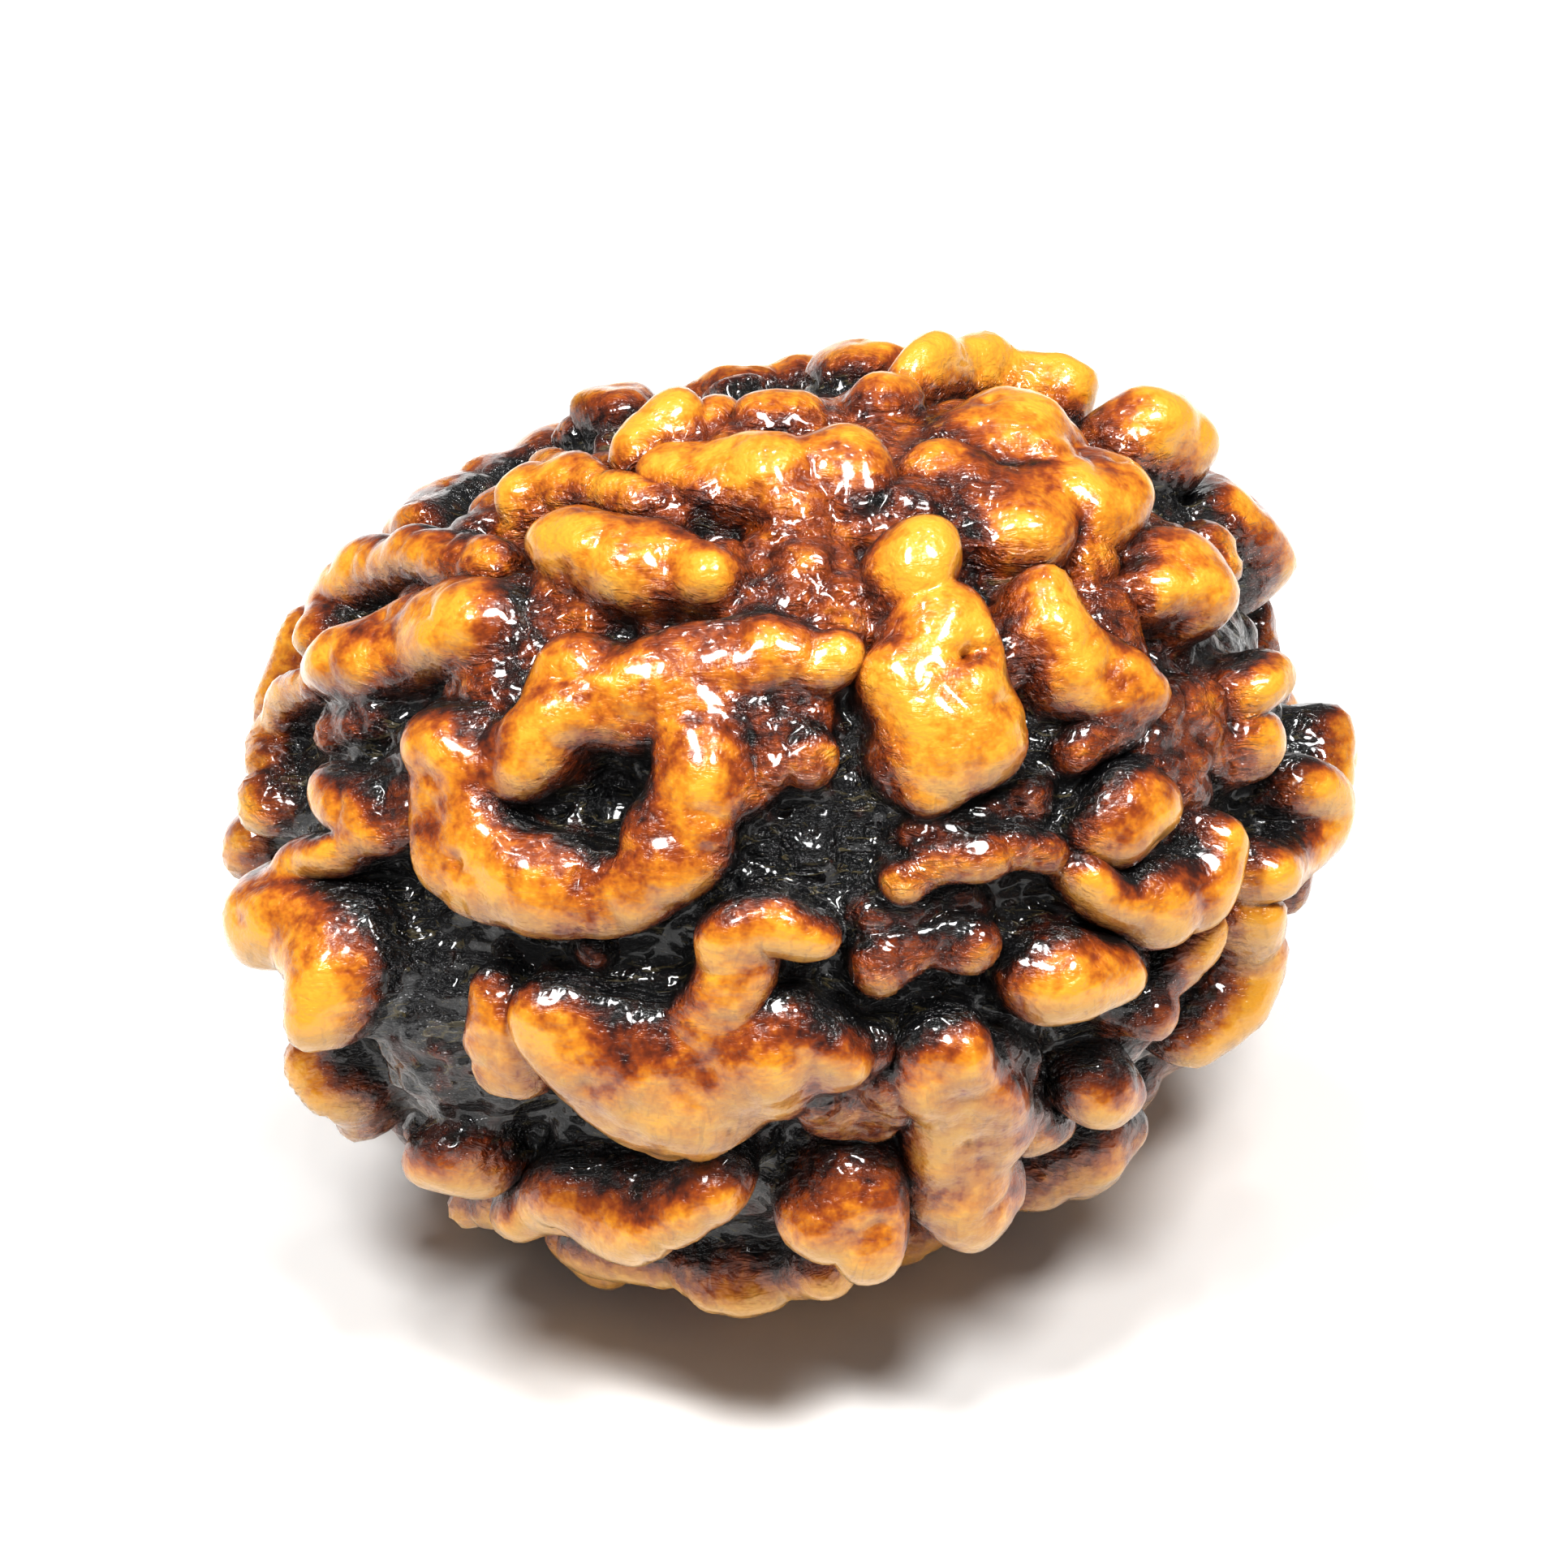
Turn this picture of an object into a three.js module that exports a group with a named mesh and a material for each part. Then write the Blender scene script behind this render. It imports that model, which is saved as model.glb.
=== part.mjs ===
// Rudraksha bead: the stone of one rudraksha fruit, as it grew, with no hole drilled through it.
// An egg-shaped core carries coarse rounded ridges and knobs with deep furrows between them.
// It lies on its side with its long axis close to +X, resting on the flattened tips of its lowest ridges.
// Millimetres, +Z up, origin in the middle of the stone's box on the surface that it rests on.

import * as THREE from "three";
import { mergeVertices } from "three/addons/utils/BufferGeometryUtils.js";

const { degToRad, lerp, clamp, smoothstep } = THREE.MathUtils;

// Core and ridges
const CORE_HALF_LENGTH = 12.3;
const CORE_HALF_WIDTH = 9.95;
const USUAL_RIDGE_HEIGHT = 1.7;
const CREST_HALF_LENGTH = CORE_HALF_LENGTH + USUAL_RIDGE_HEIGHT;
const CREST_HALF_WIDTH = CORE_HALF_WIDTH + USUAL_RIDGE_HEIGHT;

// The stone lies with its face turned up and forward, and its long axis tilted within that face
const FACE_ELEVATION = degToRad(40);
const LONG_AXIS_TILT = degToRad(16);
const SIGHT_DISTANCE = 300;

// The resting plane cuts the lowest ridges this far below the middle of the core
const REST_DEPTH = 10.95;

// A dimple at each end of the core marks where the stalk and the style were
const STALK_AXIS_TILT = degToRad(19.5);
const DIMPLE_RADIUS = 1.3;
const DIMPLE_DEPTH = 1.3;

// Cells along each of the twelve edges of the cube that the surface is spread from
const CELLS = 31;
const HALF_CELL = Math.PI / 4 / CELLS;

// Section of a ridge: a blunt top with steep flanks, and a low skirt round it
const TOP_BLUNTNESS = 2.8;
const FLANK_STEEPNESS = 0.6;
const SKIRT_WIDTH = 0.8;
const SKIRT_SHARE = 0.26;
const FACE_WIDTH_SHARE = 0.93;
const EDGE_WIDENING = 1.35;
const ROOM_ROUND_RIDGE = 2;

// Ridges of like height grow into one another, wander, and are uneven along their length
const MERGE_HEIGHT = 0.4;
const WARP = 0.24;
const FINE_WARP_SHARE = 0.4;
const UNEVENNESS = 0.13;
const FINE_UNEVENNESS_SHARE = 0.2;
const TOP_SIDE_LOWERING = 0.38;

// The floor between the ridges of the upper face rises in low webs
const WEBS = { spacing: 3.4, seed: 23, turn: 0.5, level: -0.5, height: 0.95, width: 1.2, flank: 0.7 };
const WEBS_KEPT_LOW = 2.5;
const WEBS_TOP_SIDE = [-0.25, 0.3];
const WEBS_FACING = [0.2, 0.45];

// Ridges of the hidden side: folds and small knobs, with five furrows that run from end to end
const FURROW_COUNT = 5;
const FURROW_ANGLE = degToRad(-5);
const FURROW_HALF_WIDTH = 0.25;
const WAVE_COUNT = 16;
const FOLDS = { spacing: 4.9, seed: 41, turn: 0, level: 0.05, height: 1.95, width: 1, flank: 1.1 };
const KNOBS = { spacing: 2.7, seed: 42, turn: 1, level: 0.75, height: 1.25, width: 0.9, flank: 0.9 };

// Folds and knobs are kept low beside a laid ridge, on the face and along the furrows
const LOW_BY_RIDGE = { share: 1.6, reach: 1.3 };
const LOW_BY_FURROW = { share: 1.7, reach: 0.9 };
const LOW_ON_FACE = 5;
const FACE_STARTS = [-0.05, 0.4];

// Ridges of the face. Each path lists [across, up, half width] on a flat sheet through the middle of the
// stone that squarely faces the eye, and its height is measured from the core.
const FACE_RIDGES = [
  { name: "ring round the hollow", height: 1.95, path: [[-8.9, 1.4, 1.2], [-8.9, 0, 1.3],
    [-8.5, -1.1, 1.4], [-7.4, -2, 1.4], [-6.1, -2.3, 1.25], [-4.9, -2.3, 1.05], [-3.7, -1.7, 1.2],
    [-2.8, -0.8, 1.35], [-2.4, 0.3, 1.4], [-2.5, 1.5, 1.3], [-2.6, 2.5, 1.3]] },
  { name: "top band of the ring", height: 2, path: [[-8.6, 1.5, 1.1], [-7.3, 1.25, 0.9], [-6.1, 2.1, 1],
    [-5.2, 2.9, 1.4], [-4, 2.7, 1.3], [-2.5, 3, 1.35], [-1.1, 3.65, 1.1], [0.1, 3.95, 0.95],
    [1.3, 4.05, 0.7]] },
  { name: "knob on the ring", height: 2.2, path: [[-5.3, 3.6, 0.8]] },
  { name: "knob beside the ring", height: 1.2, path: [[0.3, 1.3, 0.9]] },
  { name: "upper left arm", height: 2, path: [[-11.9, 3.6, 0.5], [-11.1, 4, 0.75], [-10, 4.6, 0.95],
    [-8.9, 4.9, 0.95], [-7.9, 4.5, 0.7]] },
  { name: "left top arc", height: 1.9, path: [[-12, 4.6, 0.45], [-11.5, 5.6, 0.55], [-10.8, 6.3, 0.6],
    [-9.8, 6.75, 0.6], [-8.8, 6.6, 0.55], [-7.9, 6.3, 0.5]] },
  { name: "bean", height: 2.1, path: [[-5.9, 6.9, 1], [-4.8, 6.75, 1.15], [-3.5, 6.3, 1],
    [-2.2, 5.8, 0.75]] },
  { name: "knob by the bean", height: 1.3, path: [[-1.7, 6.6, 0.5]] },
  { name: "crescent over the bean", height: 1.9, path: [[-7, 7.9, 0.4], [-6.5, 8.5, 0.5],
    [-5.5, 8.75, 0.5], [-4.4, 8.55, 0.45], [-3.6, 8.2, 0.35]] },
  { name: "peak of the crescent", height: 1.6, path: [[-6.5, 9.1, 0.45], [-5.7, 8.9, 0.4]] },
  { name: "top bean", height: 2.1, path: [[-2.8, 9, 0.8], [-1.6, 8.9, 1], [-0.2, 8.8, 1.25],
    [1.2, 9, 1.25]] },
  { name: "knob under the top bean", height: 1.4, path: [[0.3, 6.6, 0.8], [0.2, 5.9, 0.8]] },
  { name: "sliver under the knob", height: 1, path: [[0.5, 4.95, 0.35], [1.4, 5.25, 0.3]] },
  { name: "top edge lobe", height: 2.2, path: [[-3.7, 9.8, 0.7], [-3, 10.1, 0.6]] },
  { name: "top edge knob", height: 1.9, path: [[-2.1, 10.5, 0.5]] },
  { name: "top edge bump", height: 1.9, path: [[-0.8, 10.5, 0.45], [0.3, 10.8, 0.55]] },
  { name: "top edge bean", height: 1.9, path: [[2.2, 11, 0.5], [2.8, 11.1, 0.5]] },
  { name: "top right arc", height: 2.9, path: [[3, 11.4, 0.4], [4.2, 11.4, 0.4], [5.6, 11.3, 0.4],
    [6.8, 11.2, 0.5], [7.5, 10.6, 0.45]] },
  { name: "great lobe", height: 2.2, path: [[5.9, 9.8, 1.35], [6.8, 9, 1.5], [7.9, 8.3, 1.4]] },
  { name: "foot of the great lobe", height: 2, path: [[6.6, 9.1, 1], [6.3, 8, 1], [6.1, 7.1, 1]] },
  { name: "left branch of the great lobe", height: 1.8, path: [[3.9, 9.1, 0.6], [5, 8.8, 0.75],
    [6.2, 8.7, 0.9]] },
  { name: "knob under the great lobe", height: 1.3, path: [[8, 6.8, 0.65]] },
  { name: "upper right blob", height: 2.7, path: [[8.8, 9.7, 0.6], [9.6, 9.3, 0.75]] },
  { name: "right blob", height: 2.2, path: [[9.4, 5.7, 0.6], [10.2, 5.9, 1.05]] },
  { name: "right edge arc", height: 1.5, path: [[11.2, 7, 0.45], [11.5, 6.4, 0.35]] },
  { name: "pendant", height: 2.3, path: [[3.15, 6.6, 1], [3.5, 5.4, 0.5], [3.95, 4.3, 1.25],
    [4.1, 3, 1.9], [4.1, 1.9, 1.8]] },
  { name: "right lobe", height: 2.1, path: [[6.4, 5.3, 0.55], [6.9, 4.4, 0.8], [7.6, 3.6, 1],
    [8.4, 3, 0.85], [9.2, 2.5, 0.45]] },
  { name: "ledge under the right lobe", height: 1.3, path: [[9.3, 2.6, 0.6], [8.6, 2, 0.6],
    [7.7, 1.6, 0.5]] },
  { name: "oval knob", height: 2.1, path: [[8.6, -0.2, 0.95], [9.3, -0.1, 0.9]] },
  { name: "low ridge", height: 1.6, path: [[3.1, -1.6, 0.45], [4.3, -1.45, 0.5], [5.8, -1.5, 0.5],
    [7, -1.4, 0.5]] },
  { name: "cup ridge", height: 2.1, path: [[7.9, -1.7, 0.5], [8.4, -2.4, 0.7], [9.4, -2.7, 0.75],
    [10.3, -2.5, 0.75], [10.8, -1.7, 0.6], [10.9, -1, 0.4]] },
  { name: "sunken ridge", height: 1.3, path: [[2.5, -4.3, 0.8], [3.4, -3.8, 0.75], [4.4, -3.6, 0.7],
    [5.2, -3.8, 0.6]] },
  { name: "fork stem", height: 2, path: [[-1.4, -3.5, 0.8], [-1.2, -4.4, 0.9], [-1.6, -5.4, 1],
    [-1.9, -6.4, 1.2]] },
  { name: "fork tip", height: 2, path: [[-0.9, -3.5, 0.8], [0.1, -3.5, 0.8], [0.9, -3.4, 0.5]] },
  { name: "great lower lobe", height: 2.1, path: [[-6.2, -5.9, 0.9], [-5, -6.3, 1.4], [-3.9, -7, 2],
    [-2.7, -7.3, 2.1], [-1.2, -6.9, 1.8], [0.2, -6.4, 1.3], [1.2, -6.3, 0.9]] },
  { name: "foot of the lower lobe", height: 2, path: [[-3.2, -7.2, 1.6], [-2.9, -8.3, 1.1]] },
  { name: "left tooth", height: 2, path: [[-8, -4.8, 0.4], [-7.4, -5.8, 0.65], [-7, -6.7, 0.85],
    [-7, -7.1, 0.7]] },
  { name: "left outer lobe", height: 2.6, path: [[-13, -2.6, 0.85], [-12.1, -2.8, 0.8],
    [-11.3, -3.5, 0.8], [-11, -4.7, 0.55]] },
  { name: "left outer arm", height: 1.8, path: [[-12.6, -1.9, 0.45], [-11.8, -1.3, 0.4],
    [-11.1, -1, 0.35]] },
  { name: "left small ridge", height: 1.7, path: [[-11.8, 0.5, 0.55], [-11.2, -0.2, 0.5],
    [-10.8, -1, 0.4]] },
  { name: "left small knob", height: 1.5, path: [[-12.35, 1.8, 0.4]] },
  { name: "left edge arc", height: 1.8, path: [[-13.6, 1, 0.4], [-13.5, 1.9, 0.4], [-13, 2.7, 0.4],
    [-12.5, 3.1, 0.4]] },
  { name: "left edge knob", height: 1.8, path: [[-13.7, 0.3, 0.4], [-13.7, -0.1, 0.4]] },
  { name: "lower left arc", height: 2, path: [[-12.6, -4.7, 0.3], [-12.3, -6, 0.4], [-11.6, -7.3, 0.5],
    [-10.9, -8.3, 0.5]] },
  { name: "lower left knob", height: 2.2, path: [[-8.4, -9.1, 0.85], [-8, -9.4, 0.7]] },
  { name: "lower band", height: 2.2, path: [[-8.2, -10.2, 0.4], [-6.8, -10.4, 0.55], [-5.2, -10.3, 0.85],
    [-3.6, -10.2, 0.85], [-2.1, -9.8, 0.65]] },
  { name: "lower edge band", height: 2.2, path: [[-5.5, -11.2, 0.4], [-3.8, -11.5, 0.5], [-2, -11.6, 0.5],
    [-0.3, -11.5, 0.5], [1, -11.2, 0.45]] },
  { name: "molar", height: 2.5, path: [[0.9, -10.2, 0.8], [1.5, -9.8, 0.9], [2.1, -10.2, 0.8]] },
  { name: "leg", height: 2.1, path: [[4.2, -6.5, 1], [4.4, -7.6, 1.3], [4.8, -8.8, 1.45],
    [4.8, -9.7, 1]] },
  { name: "kidney knob", height: 2.1, path: [[6.8, -4.8, 0.85], [7.4, -4.45, 0.85], [8, -4.3, 0.65]] },
  { name: "lower right knob", height: 2.2, path: [[8.2, -7.3, 0.85]] },
  { name: "rim by the lower right knob", height: 1.3, path: [[6.5, -7, 0.4], [6.1, -8, 0.4],
    [6.5, -8.8, 0.35], [7.4, -8.6, 0.4]] },
  { name: "outer finger", height: 2.2, path: [[12, -2.6, 0.5], [11.9, -3.8, 0.6], [11.4, -4.9, 0.6],
    [10.7, -5.9, 0.55], [10.2, -6.5, 0.45]] },
  { name: "inner finger", height: 1.7, path: [[11, -3.2, 0.35], [10.6, -4, 0.45], [10, -4.8, 0.45],
    [9.5, -5.3, 0.4]] },
  { name: "right edge knob", height: 1.7, path: [[12.3, 1.4, 0.6]] },
  { name: "right edge lobe", height: 2.2, path: [[13.2, 0.4, 0.45], [13.5, 0, 0.5], [13.4, -0.7, 0.6],
    [12.8, -1.3, 0.55], [12.1, -1.6, 0.5]] },
  { name: "right edge sliver", height: 2.1, path: [[12.4, 3.3, 0.45], [12.1, 2.7, 0.4]] },
];

// Low webs between the ridges, laid out in the same way.
const FACE_WEBS = [
  { name: "web under the top bean", height: 0.9, path: [[-0.7, 7.2, 0.8], [0.6, 6.9, 1.2],
    [1.6, 6.3, 0.9], [0.9, 5.4, 0.8]] },
  { name: "web beside the great lobe", height: 1.45, path: [[3.2, 8.4, 0.8], [4.6, 8.2, 1.2],
    [5.6, 7.7, 1.2]] },
  { name: "web under the great lobe", height: 1, path: [[7.6, 7.3, 0.8], [8.6, 7.4, 0.7],
    [9.2, 7, 0.6]] },
  { name: "web left of the ring", height: 1, path: [[-7.3, 4.8, 0.8], [-6.6, 4.2, 0.7]] },
  { name: "web right of the ring", height: 1.3, path: [[-1.2, 2.3, 1], [-0.8, 1.2, 0.9],
    [-1.1, 0.2, 0.7]] },
  { name: "web round the oval knob", height: 0.9, path: [[6.7, -0.9, 0.7], [7.8, -1.2, 0.8],
    [9.6, -1.4, 1], [10.7, 0.2, 0.8], [10.7, 1.2, 0.7]] },
  { name: "web above the sunken ridge", height: 0.7, path: [[2.4, -3, 0.8], [3.6, -2.7, 0.8],
    [5, -2.8, 0.8]] },
  { name: "web beside the leg", height: 1.1, path: [[5.8, -7, 0.8], [6, -8.2, 1], [6.4, -9, 0.7]] },
  { name: "web above the molar", height: 1.2, path: [[0.9, -8.2, 0.9], [2.2, -8.3, 0.9],
    [2.8, -7.2, 0.6]] },
  { name: "web of the left small ridge", height: 0.9, path: [[-11, 0.6, 0.8], [-10.6, -0.2, 0.6]] },
  { name: "web at the right edge", height: 1, path: [[11.2, 2.6, 0.8], [10.4, 2.6, 0.7],
    [11.9, 0.9, 0.6]] },
  { name: "web at the upper left edge", height: 1.3, path: [[-8.5, 7.3, 0.7], [-7.6, 8.1, 0.7]] },
  { name: "web of the upper left arm", height: 1.2, path: [[-8, 4.1, 0.9], [-8.2, 3.1, 0.9],
    [-7.5, 2.4, 0.8]] },
  { name: "web above the low ridge", height: 0.9, path: [[3.8, -0.7, 0.6], [5.6, -0.6, 0.7],
    [6.8, 0.4, 0.7]] },
  { name: "web under the cup ridge", height: 0.8, path: [[8.6, -3.9, 0.8], [9.6, -6.2, 0.9]] },
  { name: "web under the lobe", height: 1.1, path: [[0.4, -7.6, 1], [2.4, -6.4, 0.7]] },
];

// Broad swells of the core, with their rise. They carry no ridge of their own.
const FACE_SWELLS = [
  { name: "plain at the lower left edge", height: 1.2, path: [[-10.2, -6, 3.4], [-9.6, -7.2, 3.4]] },
  { name: "belly under the lower lobe", height: 0.9, path: [[-2, -11, 3.5], [3, -10.5, 3.5]] },
];

// Small hollows in the ridges and in the floor of the ring, and dips at the face's edge, with their depth.
const FACE_HOLLOWS = [
  { name: "eye of the pendant", height: 1.4, path: [[4.6, 3.4, 0.55]] },
  { name: "dent in the top bean", height: 0.5, path: [[0.1, 8.5, 0.8], [0.9, 8.3, 0.6]] },
  { name: "bottom of the ring", height: 0.8, path: [[-5, 0.3, 1], [-4.6, -0.7, 1]] },
  { name: "groove into the ring", height: 0.5, path: [[-7.4, 0, 0.45], [-6.5, 0, 0.5]] },
  { name: "dent in the great lobe", height: 0.4, path: [[5.9, 8.6, 0.7], [6.9, 8.5, 0.5]] },
  { name: "hollow by the lower right knob", height: 0.8, path: [[6.9, -7.9, 0.6]] },
  { name: "dip at the right edge", height: 1.3, path: [[13.5, 1.7, 1.3]] },
  { name: "dip at the upper right edge", height: 1.2, path: [[10.8, 7.8, 1.5]] },
  { name: "dip at the top edge", height: 1.1, path: [[1.3, 11.5, 1.2]] },
  { name: "dip over the crescent", height: 1, path: [[-4.6, 10.3, 1.3]] },
  { name: "dip at the upper left edge", height: 1.1, path: [[-9.1, 8.2, 1.3]] },
  { name: "dip at the left edge", height: 1.2, path: [[-13.8, -1.45, 0.9]] },
  { name: "dip at the lower right edge", height: 1.2, path: [[6.6, -9.6, 1.2]] },
];

// Ridges that the stone rests on. Each path lists [along X, along Y, half width] on a sheet under it.
const REST_RIDGES = [
  { name: "middle foot", height: 2, path: [[-2.6, 0.3, 1.5], [0.2, -0.4, 1.7], [1.9, 0.7, 1.2]] },
  { name: "front foot", height: 2.1, path: [[-0.6, -3.9, 1.2], [1.6, -3.5, 1.2]] },
  { name: "left foot", height: 2.1, path: [[-4.4, 3.2, 1.1], [-2.6, 3.9, 1.1]] },
  { name: "right foot", height: 2.2, path: [[2.4, 3.9, 1.1], [4.3, 2.6, 1.1]] },
];

const FACE_SHEET = {
  across: new THREE.Vector3(1, 0, 0),
  up: new THREE.Vector3(0, Math.sin(FACE_ELEVATION), Math.cos(FACE_ELEVATION)),
  out: new THREE.Vector3(0, -Math.cos(FACE_ELEVATION), Math.sin(FACE_ELEVATION)),
};
const REST_SHEET = {
  across: new THREE.Vector3(1, 0, 0),
  up: new THREE.Vector3(0, 1, 0),
  out: new THREE.Vector3(0, 0, -1),
};

function axisInFace(tilt) {
  const axis = FACE_SHEET.across.clone().multiplyScalar(Math.cos(tilt));
  return axis.addScaledVector(FACE_SHEET.up, Math.sin(tilt));
}
const LONG_AXIS = axisInFace(LONG_AXIS_TILT);
const STALK_AXIS = axisInFace(STALK_AXIS_TILT);
const ACROSS_LONG_AXIS = FACE_SHEET.out.clone().cross(LONG_AXIS);

// Product of two vectors in which the crest ellipsoid is the sphere of radius 1.
function crestProduct(p, q) {
  const across = 1 / CREST_HALF_WIDTH ** 2;
  const along = 1 / CREST_HALF_LENGTH ** 2;
  return p.dot(q) * across + p.dot(LONG_AXIS) * q.dot(LONG_AXIS) * (along - across);
}

function crestSpot(direction) {
  return direction.clone().divideScalar(Math.sqrt(crestProduct(direction, direction)));
}

function coreRadius(direction) {
  const along = direction.dot(LONG_AXIS);
  const across = Math.sqrt(1 - along * along);
  return 1 / Math.hypot(along / CORE_HALF_LENGTH, across / CORE_HALF_WIDTH);
}

// The spot of the crest ellipsoid that the eye sees through a point of a sheet. A point beside the ellipsoid
// gives the nearest spot of its edge.
function spotSeen(sheet, across, up) {
  const eye = sheet.out.clone().multiplyScalar(SIGHT_DISTANCE);
  const sheetPoint = sheet.across.clone().multiplyScalar(across).addScaledVector(sheet.up, up);
  const sight = sheetPoint.sub(eye).normalize();
  const square = crestProduct(sight, sight);
  const middle = crestProduct(eye, sight);
  const rest = crestProduct(eye, eye) - 1;
  const root = Math.sqrt(Math.max(0, middle * middle - square * rest));
  const seen = eye.addScaledVector(sight, (-middle - root) / square);
  return crestSpot(seen.normalize());
}

// A ridge's spots on the crest ellipsoid. Ridges of the face grow wider towards its edge, where they turn
// away from the eye.
function laidRidge(sheet, ridge, isWidened) {
  const spots = ridge.path.map(([across, up, half]) => {
    const at = spotSeen(sheet, across, up);
    const facing = Math.max(0.01, at.clone().normalize().dot(sheet.out));
    const share = isWidened ? FACE_WIDTH_SHARE * Math.min(EDGE_WIDENING, 1 / Math.sqrt(facing)) : 1;
    return { at, half: half * share };
  });
  const middle = new THREE.Box3().setFromPoints(spots.map(({ at }) => at)).getCenter(new THREE.Vector3());
  const reach = ROOM_ROUND_RIDGE + Math.max(...spots.map(({ at, half }) => at.distanceTo(middle) + half));
  return { height: ridge.height, spots, middle, reach };
}

// Random numbers from 0 to 1 by the rule of Park and Miller.
function randomNumbers(seed) {
  let state = seed;
  return () => {
    state = (state * 16807) % 2147483647;
    return state / 2147483647;
  };
}

// Plane waves of one spacing that run in all directions, evenly spread, each with a random phase.
function wavesOf({ spacing, seed, turn }) {
  const random = randomNumbers(seed);
  return Array.from({ length: WAVE_COUNT }, (_, wave) => {
    const level = 1 - (2 * wave + 1) / WAVE_COUNT;
    const angle = wave * Math.PI * (3 - Math.sqrt(5)) + turn;
    const around = Math.sqrt(1 - level * level);
    const travel = new THREE.Vector3(around * Math.cos(angle), around * Math.sin(angle), level);
    return { travel: travel.multiplyScalar((2 * Math.PI) / spacing), phase: random() * 2 * Math.PI };
  });
}
const FOLD_WAVES = wavesOf(FOLDS);
const KNOB_WAVES = wavesOf(KNOBS);
const WEB_WAVES = wavesOf(WEBS);

function waveSum(spot, waves) {
  const total = waves.reduce((sum, wave) => sum + Math.sin(spot.dot(wave.travel) + wave.phase), 0);
  return total * Math.sqrt(2 / waves.length);
}

// Moves a spot a little way sideways, so that the ridges' edges wander.
function wandered({ x, y, z }) {
  const fine = WARP * FINE_WARP_SHARE;
  return new THREE.Vector3(
    x + WARP * Math.sin(1.1 * y + 1.4 * Math.sin(0.8 * z)) + fine * Math.sin(2.9 * z + Math.sin(2.1 * y)),
    y + WARP * Math.sin(1.2 * z + 1.3 * Math.sin(0.9 * x)) + fine * Math.sin(2.7 * x + Math.sin(2.4 * z)),
    z + WARP * Math.sin(x + 1.5 * Math.sin(0.8 * y)) + fine * Math.sin(3 * y + Math.sin(2.2 * x)),
  );
}

function unevenness({ x, y, z }) {
  const broad = Math.sin(1.5 * x + 1.2 * Math.sin(0.9 * z)) * Math.sin(1.4 * y + 0.8 * x);
  const fine = Math.sin(3.1 * z + 1.1 * Math.sin(2 * x)) * Math.sin(2.7 * x - 1.6 * y);
  return 1 + UNEVENNESS * (broad + FINE_UNEVENNESS_SHARE * fine);
}

// Distance from a spot to a ridge's middle line, as a share of its half width there and beyond that width.
function distanceTo(spots, spot) {
  let share = Infinity;
  let beyond = Infinity;
  spots.forEach((from, place) => {
    const to = spots[Math.min(place + 1, spots.length - 1)];
    const stretch = to.at.clone().sub(from.at);
    const square = Math.max(stretch.lengthSq(), 1e-18);
    const along = clamp(spot.clone().sub(from.at).dot(stretch) / square, 0, 1);
    const half = lerp(from.half, to.half, along);
    const off = spot.distanceTo(stretch.multiplyScalar(along).add(from.at));
    share = Math.min(share, off / half);
    beyond = Math.min(beyond, off - half);
  });
  return { share, beyond };
}

// Rounded top: 1 on the middle line, 0 from the half width outwards.
function dome(share) {
  return (1 - clamp(share, 0, 1) ** TOP_BLUNTNESS) ** FLANK_STEEPNESS;
}

function ridgeSection(share, beyond) {
  const skirt = clamp(1 - beyond / SKIRT_WIDTH, 0, 1) ** 2;
  return (1 - SKIRT_SHARE) * dome(share) + SKIRT_SHARE * skirt;
}

// The higher of two heights, raised a little where two ridges of like height meet.
function merged(first, second) {
  const nearness = Math.max(0, MERGE_HEIGHT - Math.abs(first - second));
  const lower = Math.min(1, Math.min(first, second) / MERGE_HEIGHT);
  return Math.max(first, second) + (nearness ** 2 / (4 * MERGE_HEIGHT)) * lower;
}

function furrowClearance(spot) {
  const out = spot.dot(FACE_SHEET.out);
  const side = spot.dot(ACROSS_LONG_AXIS);
  const pitch = (2 * Math.PI) / FURROW_COUNT;
  const turned = Math.atan2(side, out) - FURROW_ANGLE;
  const off = turned - pitch * Math.round(turned / pitch);
  return Math.hypot(out, side) * Math.abs(Math.sin(off)) - FURROW_HALF_WIDTH;
}

function grownHeight(spot, waves, { level, height, width, flank }, keptLow) {
  const rise = waveSum(spot, waves) - level - keptLow;
  return height * ridgeSection(1 - rise / width, -rise * flank);
}

// 1 at and inside an edge, falling to 0 at a reach beyond it.
function closeness(beyond, reach) {
  return 1 - clamp(beyond / reach, 0, 1);
}

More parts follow.
